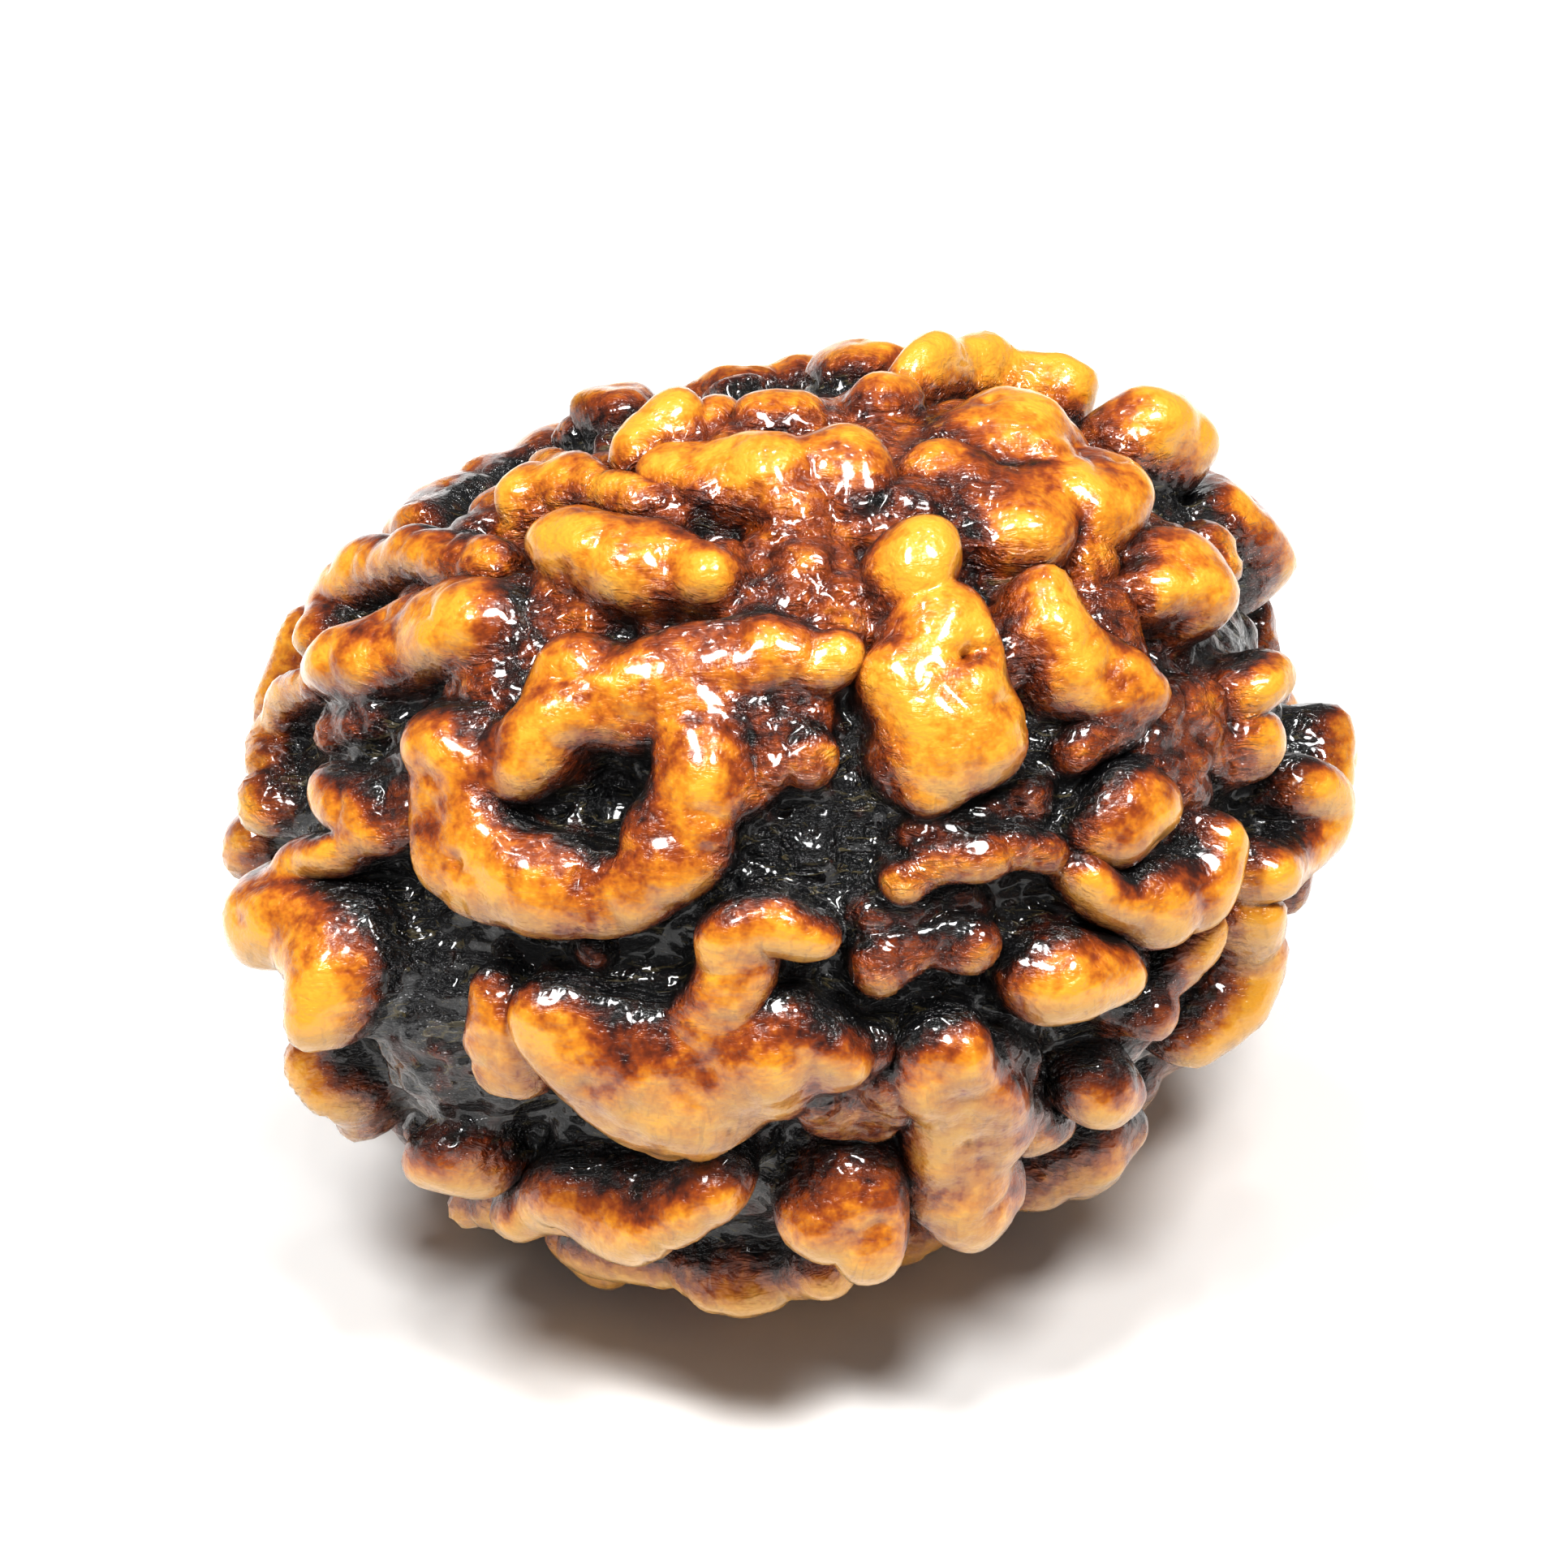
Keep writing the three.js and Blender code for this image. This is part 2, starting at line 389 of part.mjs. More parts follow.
// Height of the stone above its core: the laid ridges, and folds and knobs where the face, the furrows and
// the laid ridges leave room for them, less the hollows.
function relief(spot, facing, topSide, ridges, hollows) {
  const at = wandered(spot);
  let height = 0;
  let clearance = Infinity;
  for (const ridge of ridges.filter(({ middle, reach }) => at.distanceTo(middle) < reach)) {
    const { share, beyond } = distanceTo(ridge.spots, at);
    height = merged(height, ridge.height * ridgeSection(share, beyond));
    clearance = Math.min(clearance, beyond);
  }
  const keptLow =
    LOW_BY_RIDGE.share * closeness(clearance, LOW_BY_RIDGE.reach) +
    LOW_BY_FURROW.share * closeness(furrowClearance(at), LOW_BY_FURROW.reach) +
    LOW_ON_FACE * smoothstep(facing, ...FACE_STARTS);
  height = merged(height, grownHeight(at, FOLD_WAVES, FOLDS, keptLow));
  height = merged(height, grownHeight(at, KNOB_WAVES, KNOBS, keptLow));
  const websRoom = smoothstep(topSide, ...WEBS_TOP_SIDE) + smoothstep(facing, ...WEBS_FACING);
  height = merged(height, grownHeight(at, WEB_WAVES, WEBS, WEBS_KEPT_LOW * (2 - websRoom)));
  height *= unevenness(at);
  for (const hollow of hollows) {
    const { share } = distanceTo(hollow.spots, at);
    height -= hollow.height * Math.max(0, 1 - share ** 2) ** 1.5;
  }
  return height;
}

function swellHeight(spot, swells) {
  let height = 0;
  for (const swell of swells) {
    height += swell.height * Math.max(0, 1 - distanceTo(swell.spots, spot).share ** 2) ** 2;
  }
  return height;
}

function surfaceRadius(direction, { ridges, hollows, swells }) {
  const spot = crestSpot(direction);
  const facing = direction.dot(FACE_SHEET.out);
  const topSide = direction.dot(FACE_SHEET.up);
  const lowering = 1 - TOP_SIDE_LOWERING * Math.max(0, topSide) ** 2;
  const height = relief(spot, facing, topSide, ridges, hollows) * lowering + swellHeight(spot, swells);
  const alongStalk = Math.abs(direction.dot(STALK_AXIS));
  const offStalk = CORE_HALF_LENGTH * Math.sqrt(1 - Math.min(1, alongStalk) ** 2);
  return coreRadius(direction) + height - DIMPLE_DEPTH * dome(offStalk / DIMPLE_RADIUS);
}

// Mean radius over a direction and four others half a cell away, which keeps narrow crests even, cut off flat
// at the resting plane.
function evenedRadius(direction, features) {
  const helper = Math.abs(direction.z) < 0.9 ? new THREE.Vector3(0, 0, 1) : new THREE.Vector3(1, 0, 0);
  const east = helper.cross(direction).normalize();
  const north = direction.clone().cross(east);
  let sum = 2 * surfaceRadius(direction, features);
  for (const [side, share] of [[east, 1], [east, -1], [north, 1], [north, -1]]) {
    const beside = direction.clone().addScaledVector(side, share * HALF_CELL).normalize();
    sum += surfaceRadius(beside, features);
  }
  const radius = sum / 6;
  return direction.z < 0 ? Math.min(radius, REST_DEPTH / -direction.z) : radius;
}

// A cube's surface, spread over the sphere at even angles and pushed out to the stone's own radius.
function stoneGeometry(features) {
  const cube = new THREE.BoxGeometry(2, 2, 2, CELLS, CELLS, CELLS);
  cube.deleteAttribute("normal");
  cube.deleteAttribute("uv");
  const stone = mergeVertices(cube);
  const position = stone.attributes.position;
  const point = new THREE.Vector3();
  for (let place = 0; place < position.count; place++) {
    point.fromBufferAttribute(position, place);
    point.set(...point.toArray().map((value) => Math.tan((value * Math.PI) / 4))).normalize();
    point.multiplyScalar(evenedRadius(point, features));
    position.setXYZ(place, point.x, point.y, point.z);
  }
  return stone;
}

// Splits each four-sided cell along its shorter diagonal, so that crests and furrows stay unbroken.
function splitAlongShorterDiagonals(geometry) {
  const corners = geometry.index;
  const at = (place) => new THREE.Vector3().fromBufferAttribute(geometry.attributes.position, place);
  for (let place = 0; place < corners.count; place += 6) {
    const [a, b, d, , c] = corners.array.subarray(place, place + 5);
    if (at(a).distanceTo(at(c)) < at(b).distanceTo(at(d))) {
      corners.array.set([a, b, c, a, c, d], place);
    }
  }
}

function rudrakshaStone() {
  const ridges = [
    ...[...FACE_RIDGES, ...FACE_WEBS].map((ridge) => laidRidge(FACE_SHEET, ridge, true)),
    ...REST_RIDGES.map((ridge) => laidRidge(REST_SHEET, ridge, false)),
  ];
  const hollows = FACE_HOLLOWS.map((hollow) => laidRidge(FACE_SHEET, hollow, false));
  const swells = FACE_SWELLS.map((swell) => laidRidge(FACE_SHEET, swell, false));
  const geometry = stoneGeometry({ ridges, hollows, swells });
  splitAlongShorterDiagonals(geometry);
  geometry.computeBoundingBox();
  const middle = geometry.boundingBox.getCenter(new THREE.Vector3());
  geometry.translate(-middle.x, -middle.y, REST_DEPTH);
  geometry.computeVertexNormals();
  const wood = new THREE.MeshStandardMaterial({ color: 0xb8701a, roughness: 0.4, metalness: 0 });
  const mesh = new THREE.Mesh(geometry, wood);
  mesh.name = "rudraksha_stone";
  return mesh;
}

const bead = new THREE.Group();
bead.add(rudrakshaStone());

export default bead;
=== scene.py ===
"""Rudraksha bead: the stone of one rudraksha fruit, lying on a white surface.

An egg-shaped core carries coarse rounded ridges and knobs, golden on their tops and red-brown on their
flanks, with deep, nearly black, fibrous furrows between them. Lengths are in millimetres until the last
step, which turns them into metres.
"""

import bpy
import numpy as np
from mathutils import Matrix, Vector


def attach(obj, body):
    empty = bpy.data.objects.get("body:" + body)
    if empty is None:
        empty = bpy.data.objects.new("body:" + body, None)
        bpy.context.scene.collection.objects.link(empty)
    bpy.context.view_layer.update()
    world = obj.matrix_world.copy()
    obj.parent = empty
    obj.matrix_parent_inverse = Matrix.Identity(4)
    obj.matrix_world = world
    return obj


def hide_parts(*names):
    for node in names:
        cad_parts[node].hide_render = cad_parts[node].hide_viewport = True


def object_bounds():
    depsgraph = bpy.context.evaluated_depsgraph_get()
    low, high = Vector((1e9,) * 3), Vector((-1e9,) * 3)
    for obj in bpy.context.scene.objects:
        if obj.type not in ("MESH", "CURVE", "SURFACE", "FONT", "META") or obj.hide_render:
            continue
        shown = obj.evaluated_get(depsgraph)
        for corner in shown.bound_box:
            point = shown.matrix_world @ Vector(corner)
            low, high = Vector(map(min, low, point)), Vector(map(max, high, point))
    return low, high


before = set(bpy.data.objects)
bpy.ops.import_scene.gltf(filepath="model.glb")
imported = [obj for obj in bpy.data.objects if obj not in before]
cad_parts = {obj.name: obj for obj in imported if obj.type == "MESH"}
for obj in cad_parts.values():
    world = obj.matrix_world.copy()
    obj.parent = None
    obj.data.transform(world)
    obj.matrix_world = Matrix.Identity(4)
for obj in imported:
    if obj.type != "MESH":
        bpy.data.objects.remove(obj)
CAD_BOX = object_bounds()

# Core and ridges
CORE_HALF_LENGTH = 12.3
CORE_HALF_WIDTH = 9.95
USUAL_RIDGE_HEIGHT = 1.7
CREST_HALF_LENGTH = CORE_HALF_LENGTH + USUAL_RIDGE_HEIGHT
CREST_HALF_WIDTH = CORE_HALF_WIDTH + USUAL_RIDGE_HEIGHT

# The stone lies with its face turned up and forward, and its long axis tilted within that face
FACE_ELEVATION = np.radians(40)
LONG_AXIS_TILT = np.radians(16)
SIGHT_DISTANCE = 300

# The resting plane cuts the lowest ridges this far below the middle of the core
REST_DEPTH = 10.95

# A dimple at each end of the core marks where the stalk and the style were
STALK_AXIS_TILT = np.radians(19.5)
DIMPLE_RADIUS = 1.3
DIMPLE_DEPTH = 1.3

# Section of a ridge: a blunt top with steep flanks, and a low skirt round it
TOP_BLUNTNESS = 2.8
FLANK_STEEPNESS = 0.6
SKIRT_WIDTH = 0.8
SKIRT_SHARE = 0.26
FACE_WIDTH_SHARE = 0.93
EDGE_WIDENING = 1.35
ROOM_ROUND_RIDGE = 2

# Ridges of like height grow into one another, wander, and are uneven along their length
MERGE_HEIGHT = 0.4
WARP = 0.24
FINE_WARP_SHARE = 0.4
UNEVENNESS = 0.13
FINE_UNEVENNESS_SHARE = 0.2
TOP_SIDE_LOWERING = 0.38

# The floor between the ridges of the upper face rises in low webs
WEBS = dict(spacing=3.4, seed=23, turn=0.5, level=-0.5, height=0.95, width=1.2, flank=0.7)
WEBS_KEPT_LOW = 2.5
WEBS_TOP_SIDE = (-0.25, 0.3)
WEBS_FACING = (0.2, 0.45)

# Ridges of the hidden side: folds and small knobs, with five furrows that run from end to end
FURROW_COUNT = 5
FURROW_ANGLE = np.radians(-5)
FURROW_HALF_WIDTH = 0.25
WAVE_COUNT = 16
RANDOM_FACTOR = 16807
RANDOM_MODULUS = 2147483647
FOLDS = dict(spacing=4.9, seed=41, turn=0, level=0.05, height=1.95, width=1.0, flank=1.1)
KNOBS = dict(spacing=2.7, seed=42, turn=1, level=0.75, height=1.25, width=0.9, flank=0.9)

# Folds and knobs are kept low beside a laid ridge, on the face and along the furrows
LOW_BY_RIDGE = dict(share=1.6, reach=1.3)
LOW_BY_FURROW = dict(share=1.7, reach=0.9)
LOW_ON_FACE = 5
FACE_STARTS = (-0.05, 0.4)

# Faces of the fine surface, and how often their corners are spread and their measures evened
CELLS = 128
SPREADING_ROUNDS = 12
SPREADING_PULL = 0.5
SMOOTHING_ROUNDS = 4
BULGE_ROUNDS = 12
SIDE_ROUNDS = 3

# Fine detail. Tops begin and floors end between the heights given, and each pattern keeps a share of its
# depth off the tops
TOP_STARTS = (0.9, 1.5)
FLOOR_ENDS = (0.35, 0.9)
LUMPS = dict(spacing=2.1, seed=7, height=0.05)
CREASES = dict(spacing=2.6, seed=19, height=0.06)
CREASE_HALF_WIDTH = 0.9
CREASE_LOW_SHARE = 0.3
GRAIN = dict(spacing=0.7, seed=11, height=0.035)
GRAIN_LOW_SHARE = 1.5
PITS = dict(spacing=1.0, seed=13, height=0.14)
PIT_LEVELS = (1.25, 2.0)
PIT_LOW_SHARE = 0.35
FIBRES = dict(spacing=1.65, seed=17, height=0.035)
FIBRE_STRETCH = 0.75
FIBRES_PER_WAVE = 3

# Ridge sides lean outwards over the furrows by the overhang, from their foot up
OVERHANG = 0.3
OVERHANG_STARTS = (0.25, 0.9)

# What the colour goes by: the bulge of the surface, which paints highlight on the crests and shade in
# the hollows, its upper and under sides, the under sides also carrying painted shade and floor bounce,
# and the warmer part of the face, which begins between these upward and outward shares
BULGE_SCALE = 12
UPPER_SIDE_STARTS = (0.3, 0.9)
UNDER_SIDE_STARTS = (0.6, 1.3)
UNDER_SIDE_TURN = (0.15, 0.85)
WARM_UPWARD = (-0.1, 0.5)
WARM_OUTWARD = (0.1, 0.5)

# Wood: the tone is a weighted sum, and its colours run from near-black furrows to dry golden tops.
# The fall of tone with height is partly the wood's own colour and partly painted shade on the flanks and in
# the furrows
TONE_LEVEL = -1.2
TONE_OF_HEIGHT = 0.38
TONE_OF_WARMTH = 0.32
TONE_OF_UPPER_SIDE = -0.46
TONE_OF_BLOTCHES = 1.1
TONE_OF_SPECKLE = 0.8
TONE_OF_GRAIN = 0.5
WARM_UP_TO = (0.5, 1.3)
WOOD_TONES = [
    (0.0, (0.006, 0.006, 0.007)),
    (0.12, (0.010, 0.008, 0.007)),
    (0.27, (0.055, 0.011, 0.006)),
    (0.42, (0.17, 0.032, 0.007)),
    (0.57, (0.31, 0.068, 0.008)),
    (0.71, (0.50, 0.165, 0.012)),
    (0.85, (0.64, 0.262, 0.018)),
    (1.0, (0.75, 0.375, 0.040)),
]
# Painted shade and floor bounce: on the under sides the lighter tones are dulled towards this tan
UNDER_SIDE_SHADE_COLOUR = (0.42, 0.25, 0.08, 1)
UNDER_SIDE_SHADE_TONES = (0.45, 0.7)
UNDER_SIDE_SHADE_SHARE = 0.55
STREAK_COLOUR = (0.19, 0.080, 0.045, 1)
STREAK_LEVELS = (0.5, 0.7)
STREAK_SHARE = 0.36
STREAK_STRETCH = (1, 1, 0.3)
STRAND_COLOUR = (0.17, 0.135, 0.055, 1)
STRAND_LEVELS = (0.56, 0.66)
STRAND_SHARE = 0.5
STRAND_STRETCH = (0.3, 1, 1)

# Noise patterns of the wood and of its film of oil, in cells to the metre
BLOTCHES_TO_METRE = 330
SPECKLE_TO_METRE = 1300
BEADS_TO_METRE = 1450
STREAKS_TO_METRE = 2000
STRANDS_TO_METRE = 3400
GRAIN_TO_METRE = 3600

# Finish: satin on the tops and wet below, under an even film of oil that beads in the furrows
LEAST_ROUGHNESS = 0.12
ROUGHER_TOPS = 0.16
ROUGH_TOPS_START = (0.9, 1.7)
WOOD_IOR = 1.5
WOOD_SPECULAR = 0.45
FILM_WEIGHT = 1.0
FILM_ROUGHNESS = 0.11
BUMP_STRENGTH = 0.8
WOOD_BUMP = 0.0002
FILM_BUMP = 0.0004
BUMP_OF_STRANDS = 1.5
BUMP_OF_SPECKLE = 0.8
CALM_TOPS_START = (1.0, 1.9)
BUMP_BELOW_TOPS = 1.15
BEADS_ON_FLOOR = 0.8
BEADS_RISE_BY = 0.2
BEADS_RISE = (0.25, 0.9)

# Surface that the stone lies on
FLOOR_HALF_WIDTH = 3.0
FLOOR_TINTS = [(0.0, (0.93, 0.925, 0.915)), (1.0, (0.95, 0.95, 0.94))]
FLOOR_CLOUDS_TO_METRE = 12
FLOOR_ROUGHNESS = 0.9

# Camera: it looks squarely at the face from 300 mm, with the stone's place in the photograph
CAMERA_DISTANCE = 0.3
FRAME_WIDTH = 0.03864
SENSOR_WIDTH = 36
AIM_ACROSS = -0.00012
AIM_UP = 0.00048

# Light: a softbox to the left and one to the right in front, and small lamps on an oval above, whose
# glints show in the oil. Lengths in metres, power in watts
LIT_POINT = (0, 0, 0.01)
SOFTBOXES = [("left_softbox", (-0.08, -0.06, 0.23)), ("right_softbox", (0.08, -0.06, 0.23))]
SOFTBOX_DIAMETER = 0.07
SOFTBOX_POWER = 0.6
LAMP_COUNT = 7
LAMP_OVAL_MIDDLE = (-0.01, 0.05, 0.24)
LAMP_OVAL_REACH = (0.1, 0.06)
LAMP_DIAMETER = 0.014
LAMP_POWER = 0.035
SURROUND_STRENGTH = 0.3
EXPOSURE = -0.28
GAMMA = 0.8

# Ridges of the face. Each path lists (across, up, half width) on a flat sheet through the middle of the
# stone that squarely faces the eye, and the height before it is measured from the core.
FACE_RIDGES = [
    ("ring round the hollow", 1.95, [(-8.9, 1.4, 1.2), (-8.9, 0, 1.3), (-8.5, -1.1, 1.4), (-7.4, -2, 1.4),
        (-6.1, -2.3, 1.25), (-4.9, -2.3, 1.05), (-3.7, -1.7, 1.2), (-2.8, -0.8, 1.35), (-2.4, 0.3, 1.4),
        (-2.5, 1.5, 1.3), (-2.6, 2.5, 1.3)]),
    ("top band of the ring", 2, [(-8.6, 1.5, 1.1), (-7.3, 1.25, 0.9), (-6.1, 2.1, 1), (-5.2, 2.9, 1.4),
        (-4, 2.7, 1.3), (-2.5, 3, 1.35), (-1.1, 3.65, 1.1), (0.1, 3.95, 0.95), (1.3, 4.05, 0.7)]),
    ("knob on the ring", 2.2, [(-5.3, 3.6, 0.8)]),
    ("knob beside the ring", 1.2, [(0.3, 1.3, 0.9)]),
    ("upper left arm", 2, [(-11.9, 3.6, 0.5), (-11.1, 4, 0.75), (-10, 4.6, 0.95), (-8.9, 4.9, 0.95),
        (-7.9, 4.5, 0.7)]),
    ("left top arc", 1.9, [(-12, 4.6, 0.45), (-11.5, 5.6, 0.55), (-10.8, 6.3, 0.6), (-9.8, 6.75, 0.6),
        (-8.8, 6.6, 0.55), (-7.9, 6.3, 0.5)]),
    ("bean", 2.1, [(-5.9, 6.9, 1), (-4.8, 6.75, 1.15), (-3.5, 6.3, 1), (-2.2, 5.8, 0.75)]),
    ("knob by the bean", 1.3, [(-1.7, 6.6, 0.5)]),
    ("crescent over the bean", 1.9, [(-7, 7.9, 0.4), (-6.5, 8.5, 0.5), (-5.5, 8.75, 0.5),
        (-4.4, 8.55, 0.45), (-3.6, 8.2, 0.35)]),
    ("peak of the crescent", 1.6, [(-6.5, 9.1, 0.45), (-5.7, 8.9, 0.4)]),
    ("top bean", 2.1, [(-2.8, 9, 0.8), (-1.6, 8.9, 1), (-0.2, 8.8, 1.25), (1.2, 9, 1.25)]),
    ("knob under the top bean", 1.4, [(0.3, 6.6, 0.8), (0.2, 5.9, 0.8)]),
    ("sliver under the knob", 1, [(0.5, 4.95, 0.35), (1.4, 5.25, 0.3)]),
    ("top edge lobe", 2.2, [(-3.7, 9.8, 0.7), (-3, 10.1, 0.6)]),
    ("top edge knob", 1.9, [(-2.1, 10.5, 0.5)]),
    ("top edge bump", 1.9, [(-0.8, 10.5, 0.45), (0.3, 10.8, 0.55)]),
    ("top edge bean", 1.9, [(2.2, 11, 0.5), (2.8, 11.1, 0.5)]),
    ("top right arc", 2.9, [(3, 11.4, 0.4), (4.2, 11.4, 0.4), (5.6, 11.3, 0.4), (6.8, 11.2, 0.5),
        (7.5, 10.6, 0.45)]),
    ("great lobe", 2.2, [(5.9, 9.8, 1.35), (6.8, 9, 1.5), (7.9, 8.3, 1.4)]),
    ("foot of the great lobe", 2, [(6.6, 9.1, 1), (6.3, 8, 1), (6.1, 7.1, 1)]),
    ("left branch of the great lobe", 1.8, [(3.9, 9.1, 0.6), (5, 8.8, 0.75), (6.2, 8.7, 0.9)]),
    ("knob under the great lobe", 1.3, [(8, 6.8, 0.65)]),
    ("upper right blob", 2.7, [(8.8, 9.7, 0.6), (9.6, 9.3, 0.75)]),
    ("right blob", 2.2, [(9.4, 5.7, 0.6), (10.2, 5.9, 1.05)]),
    ("right edge arc", 1.5, [(11.2, 7, 0.45), (11.5, 6.4, 0.35)]),
    ("pendant", 2.3, [(3.15, 6.6, 1), (3.5, 5.4, 0.5), (3.95, 4.3, 1.25), (4.1, 3, 1.9), (4.1, 1.9, 1.8)]),
    ("right lobe", 2.1, [(6.4, 5.3, 0.55), (6.9, 4.4, 0.8), (7.6, 3.6, 1), (8.4, 3, 0.85),
        (9.2, 2.5, 0.45)]),
    ("ledge under the right lobe", 1.3, [(9.3, 2.6, 0.6), (8.6, 2, 0.6), (7.7, 1.6, 0.5)]),
    ("oval knob", 2.1, [(8.6, -0.2, 0.95), (9.3, -0.1, 0.9)]),
    ("low ridge", 1.6, [(3.1, -1.6, 0.45), (4.3, -1.45, 0.5), (5.8, -1.5, 0.5), (7, -1.4, 0.5)]),
    ("cup ridge", 2.1, [(7.9, -1.7, 0.5), (8.4, -2.4, 0.7), (9.4, -2.7, 0.75), (10.3, -2.5, 0.75),
        (10.8, -1.7, 0.6), (10.9, -1, 0.4)]),
    ("sunken ridge", 1.3, [(2.5, -4.3, 0.8), (3.4, -3.8, 0.75), (4.4, -3.6, 0.7), (5.2, -3.8, 0.6)]),
    ("fork stem", 2, [(-1.4, -3.5, 0.8), (-1.2, -4.4, 0.9), (-1.6, -5.4, 1), (-1.9, -6.4, 1.2)]),
    ("fork tip", 2, [(-0.9, -3.5, 0.8), (0.1, -3.5, 0.8), (0.9, -3.4, 0.5)]),
    ("great lower lobe", 2.1, [(-6.2, -5.9, 0.9), (-5, -6.3, 1.4), (-3.9, -7, 2), (-2.7, -7.3, 2.1),
        (-1.2, -6.9, 1.8), (0.2, -6.4, 1.3), (1.2, -6.3, 0.9)]),
    ("foot of the lower lobe", 2, [(-3.2, -7.2, 1.6), (-2.9, -8.3, 1.1)]),
    ("left tooth", 2, [(-8, -4.8, 0.4), (-7.4, -5.8, 0.65), (-7, -6.7, 0.85), (-7, -7.1, 0.7)]),
    ("left outer lobe", 2.6, [(-13, -2.6, 0.85), (-12.1, -2.8, 0.8), (-11.3, -3.5, 0.8),
        (-11, -4.7, 0.55)]),
    ("left outer arm", 1.8, [(-12.6, -1.9, 0.45), (-11.8, -1.3, 0.4), (-11.1, -1, 0.35)]),
    ("left small ridge", 1.7, [(-11.8, 0.5, 0.55), (-11.2, -0.2, 0.5), (-10.8, -1, 0.4)]),
    ("left small knob", 1.5, [(-12.35, 1.8, 0.4)]),
    ("left edge arc", 1.8, [(-13.6, 1, 0.4), (-13.5, 1.9, 0.4), (-13, 2.7, 0.4), (-12.5, 3.1, 0.4)]),
    ("left edge knob", 1.8, [(-13.7, 0.3, 0.4), (-13.7, -0.1, 0.4)]),
    ("lower left arc", 2, [(-12.6, -4.7, 0.3), (-12.3, -6, 0.4), (-11.6, -7.3, 0.5), (-10.9, -8.3, 0.5)]),
    ("lower left knob", 2.2, [(-8.4, -9.1, 0.85), (-8, -9.4, 0.7)]),
    ("lower band", 2.2, [(-8.2, -10.2, 0.4), (-6.8, -10.4, 0.55), (-5.2, -10.3, 0.85), (-3.6, -10.2, 0.85),
        (-2.1, -9.8, 0.65)]),
    ("lower edge band", 2.2, [(-5.5, -11.2, 0.4), (-3.8, -11.5, 0.5), (-2, -11.6, 0.5), (-0.3, -11.5, 0.5),
        (1, -11.2, 0.45)]),
    ("molar", 2.5, [(0.9, -10.2, 0.8), (1.5, -9.8, 0.9), (2.1, -10.2, 0.8)]),
    ("leg", 2.1, [(4.2, -6.5, 1), (4.4, -7.6, 1.3), (4.8, -8.8, 1.45), (4.8, -9.7, 1)]),
    ("kidney knob", 2.1, [(6.8, -4.8, 0.85), (7.4, -4.45, 0.85), (8, -4.3, 0.65)]),
    ("lower right knob", 2.2, [(8.2, -7.3, 0.85)]),
    ("rim by the lower right knob", 1.3, [(6.5, -7, 0.4), (6.1, -8, 0.4), (6.5, -8.8, 0.35),
        (7.4, -8.6, 0.4)]),
    ("outer finger", 2.2, [(12, -2.6, 0.5), (11.9, -3.8, 0.6), (11.4, -4.9, 0.6), (10.7, -5.9, 0.55),
        (10.2, -6.5, 0.45)]),
    ("inner finger", 1.7, [(11, -3.2, 0.35), (10.6, -4, 0.45), (10, -4.8, 0.45), (9.5, -5.3, 0.4)]),
    ("right edge knob", 1.7, [(12.3, 1.4, 0.6)]),
    ("right edge lobe", 2.2, [(13.2, 0.4, 0.45), (13.5, 0, 0.5), (13.4, -0.7, 0.6), (12.8, -1.3, 0.55),
        (12.1, -1.6, 0.5)]),
    ("right edge sliver", 2.1, [(12.4, 3.3, 0.45), (12.1, 2.7, 0.4)]),
]

# Low webs between the ridges, laid out in the same way
FACE_WEBS = [
    ("web under the top bean", 0.9, [(-0.7, 7.2, 0.8), (0.6, 6.9, 1.2), (1.6, 6.3, 0.9), (0.9, 5.4, 0.8)]),
    ("web beside the great lobe", 1.45, [(3.2, 8.4, 0.8), (4.6, 8.2, 1.2), (5.6, 7.7, 1.2)]),
    ("web under the great lobe", 1, [(7.6, 7.3, 0.8), (8.6, 7.4, 0.7), (9.2, 7, 0.6)]),
    ("web left of the ring", 1, [(-7.3, 4.8, 0.8), (-6.6, 4.2, 0.7)]),
    ("web right of the ring", 1.3, [(-1.2, 2.3, 1), (-0.8, 1.2, 0.9), (-1.1, 0.2, 0.7)]),
    ("web round the oval knob", 0.9, [(6.7, -0.9, 0.7), (7.8, -1.2, 0.8), (9.6, -1.4, 1), (10.7, 0.2, 0.8),
        (10.7, 1.2, 0.7)]),
    ("web above the sunken ridge", 0.7, [(2.4, -3, 0.8), (3.6, -2.7, 0.8), (5, -2.8, 0.8)]),
    ("web beside the leg", 1.1, [(5.8, -7, 0.8), (6, -8.2, 1), (6.4, -9, 0.7)]),
    ("web above the molar", 1.2, [(0.9, -8.2, 0.9), (2.2, -8.3, 0.9), (2.8, -7.2, 0.6)]),
    ("web of the left small ridge", 0.9, [(-11, 0.6, 0.8), (-10.6, -0.2, 0.6)]),
    ("web at the right edge", 1, [(11.2, 2.6, 0.8), (10.4, 2.6, 0.7), (11.9, 0.9, 0.6)]),
    ("web at the upper left edge", 1.3, [(-8.5, 7.3, 0.7), (-7.6, 8.1, 0.7)]),
    ("web of the upper left arm", 1.2, [(-8, 4.1, 0.9), (-8.2, 3.1, 0.9), (-7.5, 2.4, 0.8)]),
    ("web above the low ridge", 0.9, [(3.8, -0.7, 0.6), (5.6, -0.6, 0.7), (6.8, 0.4, 0.7)]),
    ("web under the cup ridge", 0.8, [(8.6, -3.9, 0.8), (9.6, -6.2, 0.9)]),
    ("web under the lobe", 1.1, [(0.4, -7.6, 1), (2.4, -6.4, 0.7)]),
]

# Broad swells of the core, with their rise. They carry no ridge of their own.
FACE_SWELLS = [
    ("plain at the lower left edge", 1.2, [(-10.2, -6, 3.4), (-9.6, -7.2, 3.4)]),
    ("belly under the lower lobe", 0.9, [(-2, -11, 3.5), (3, -10.5, 3.5)]),
]

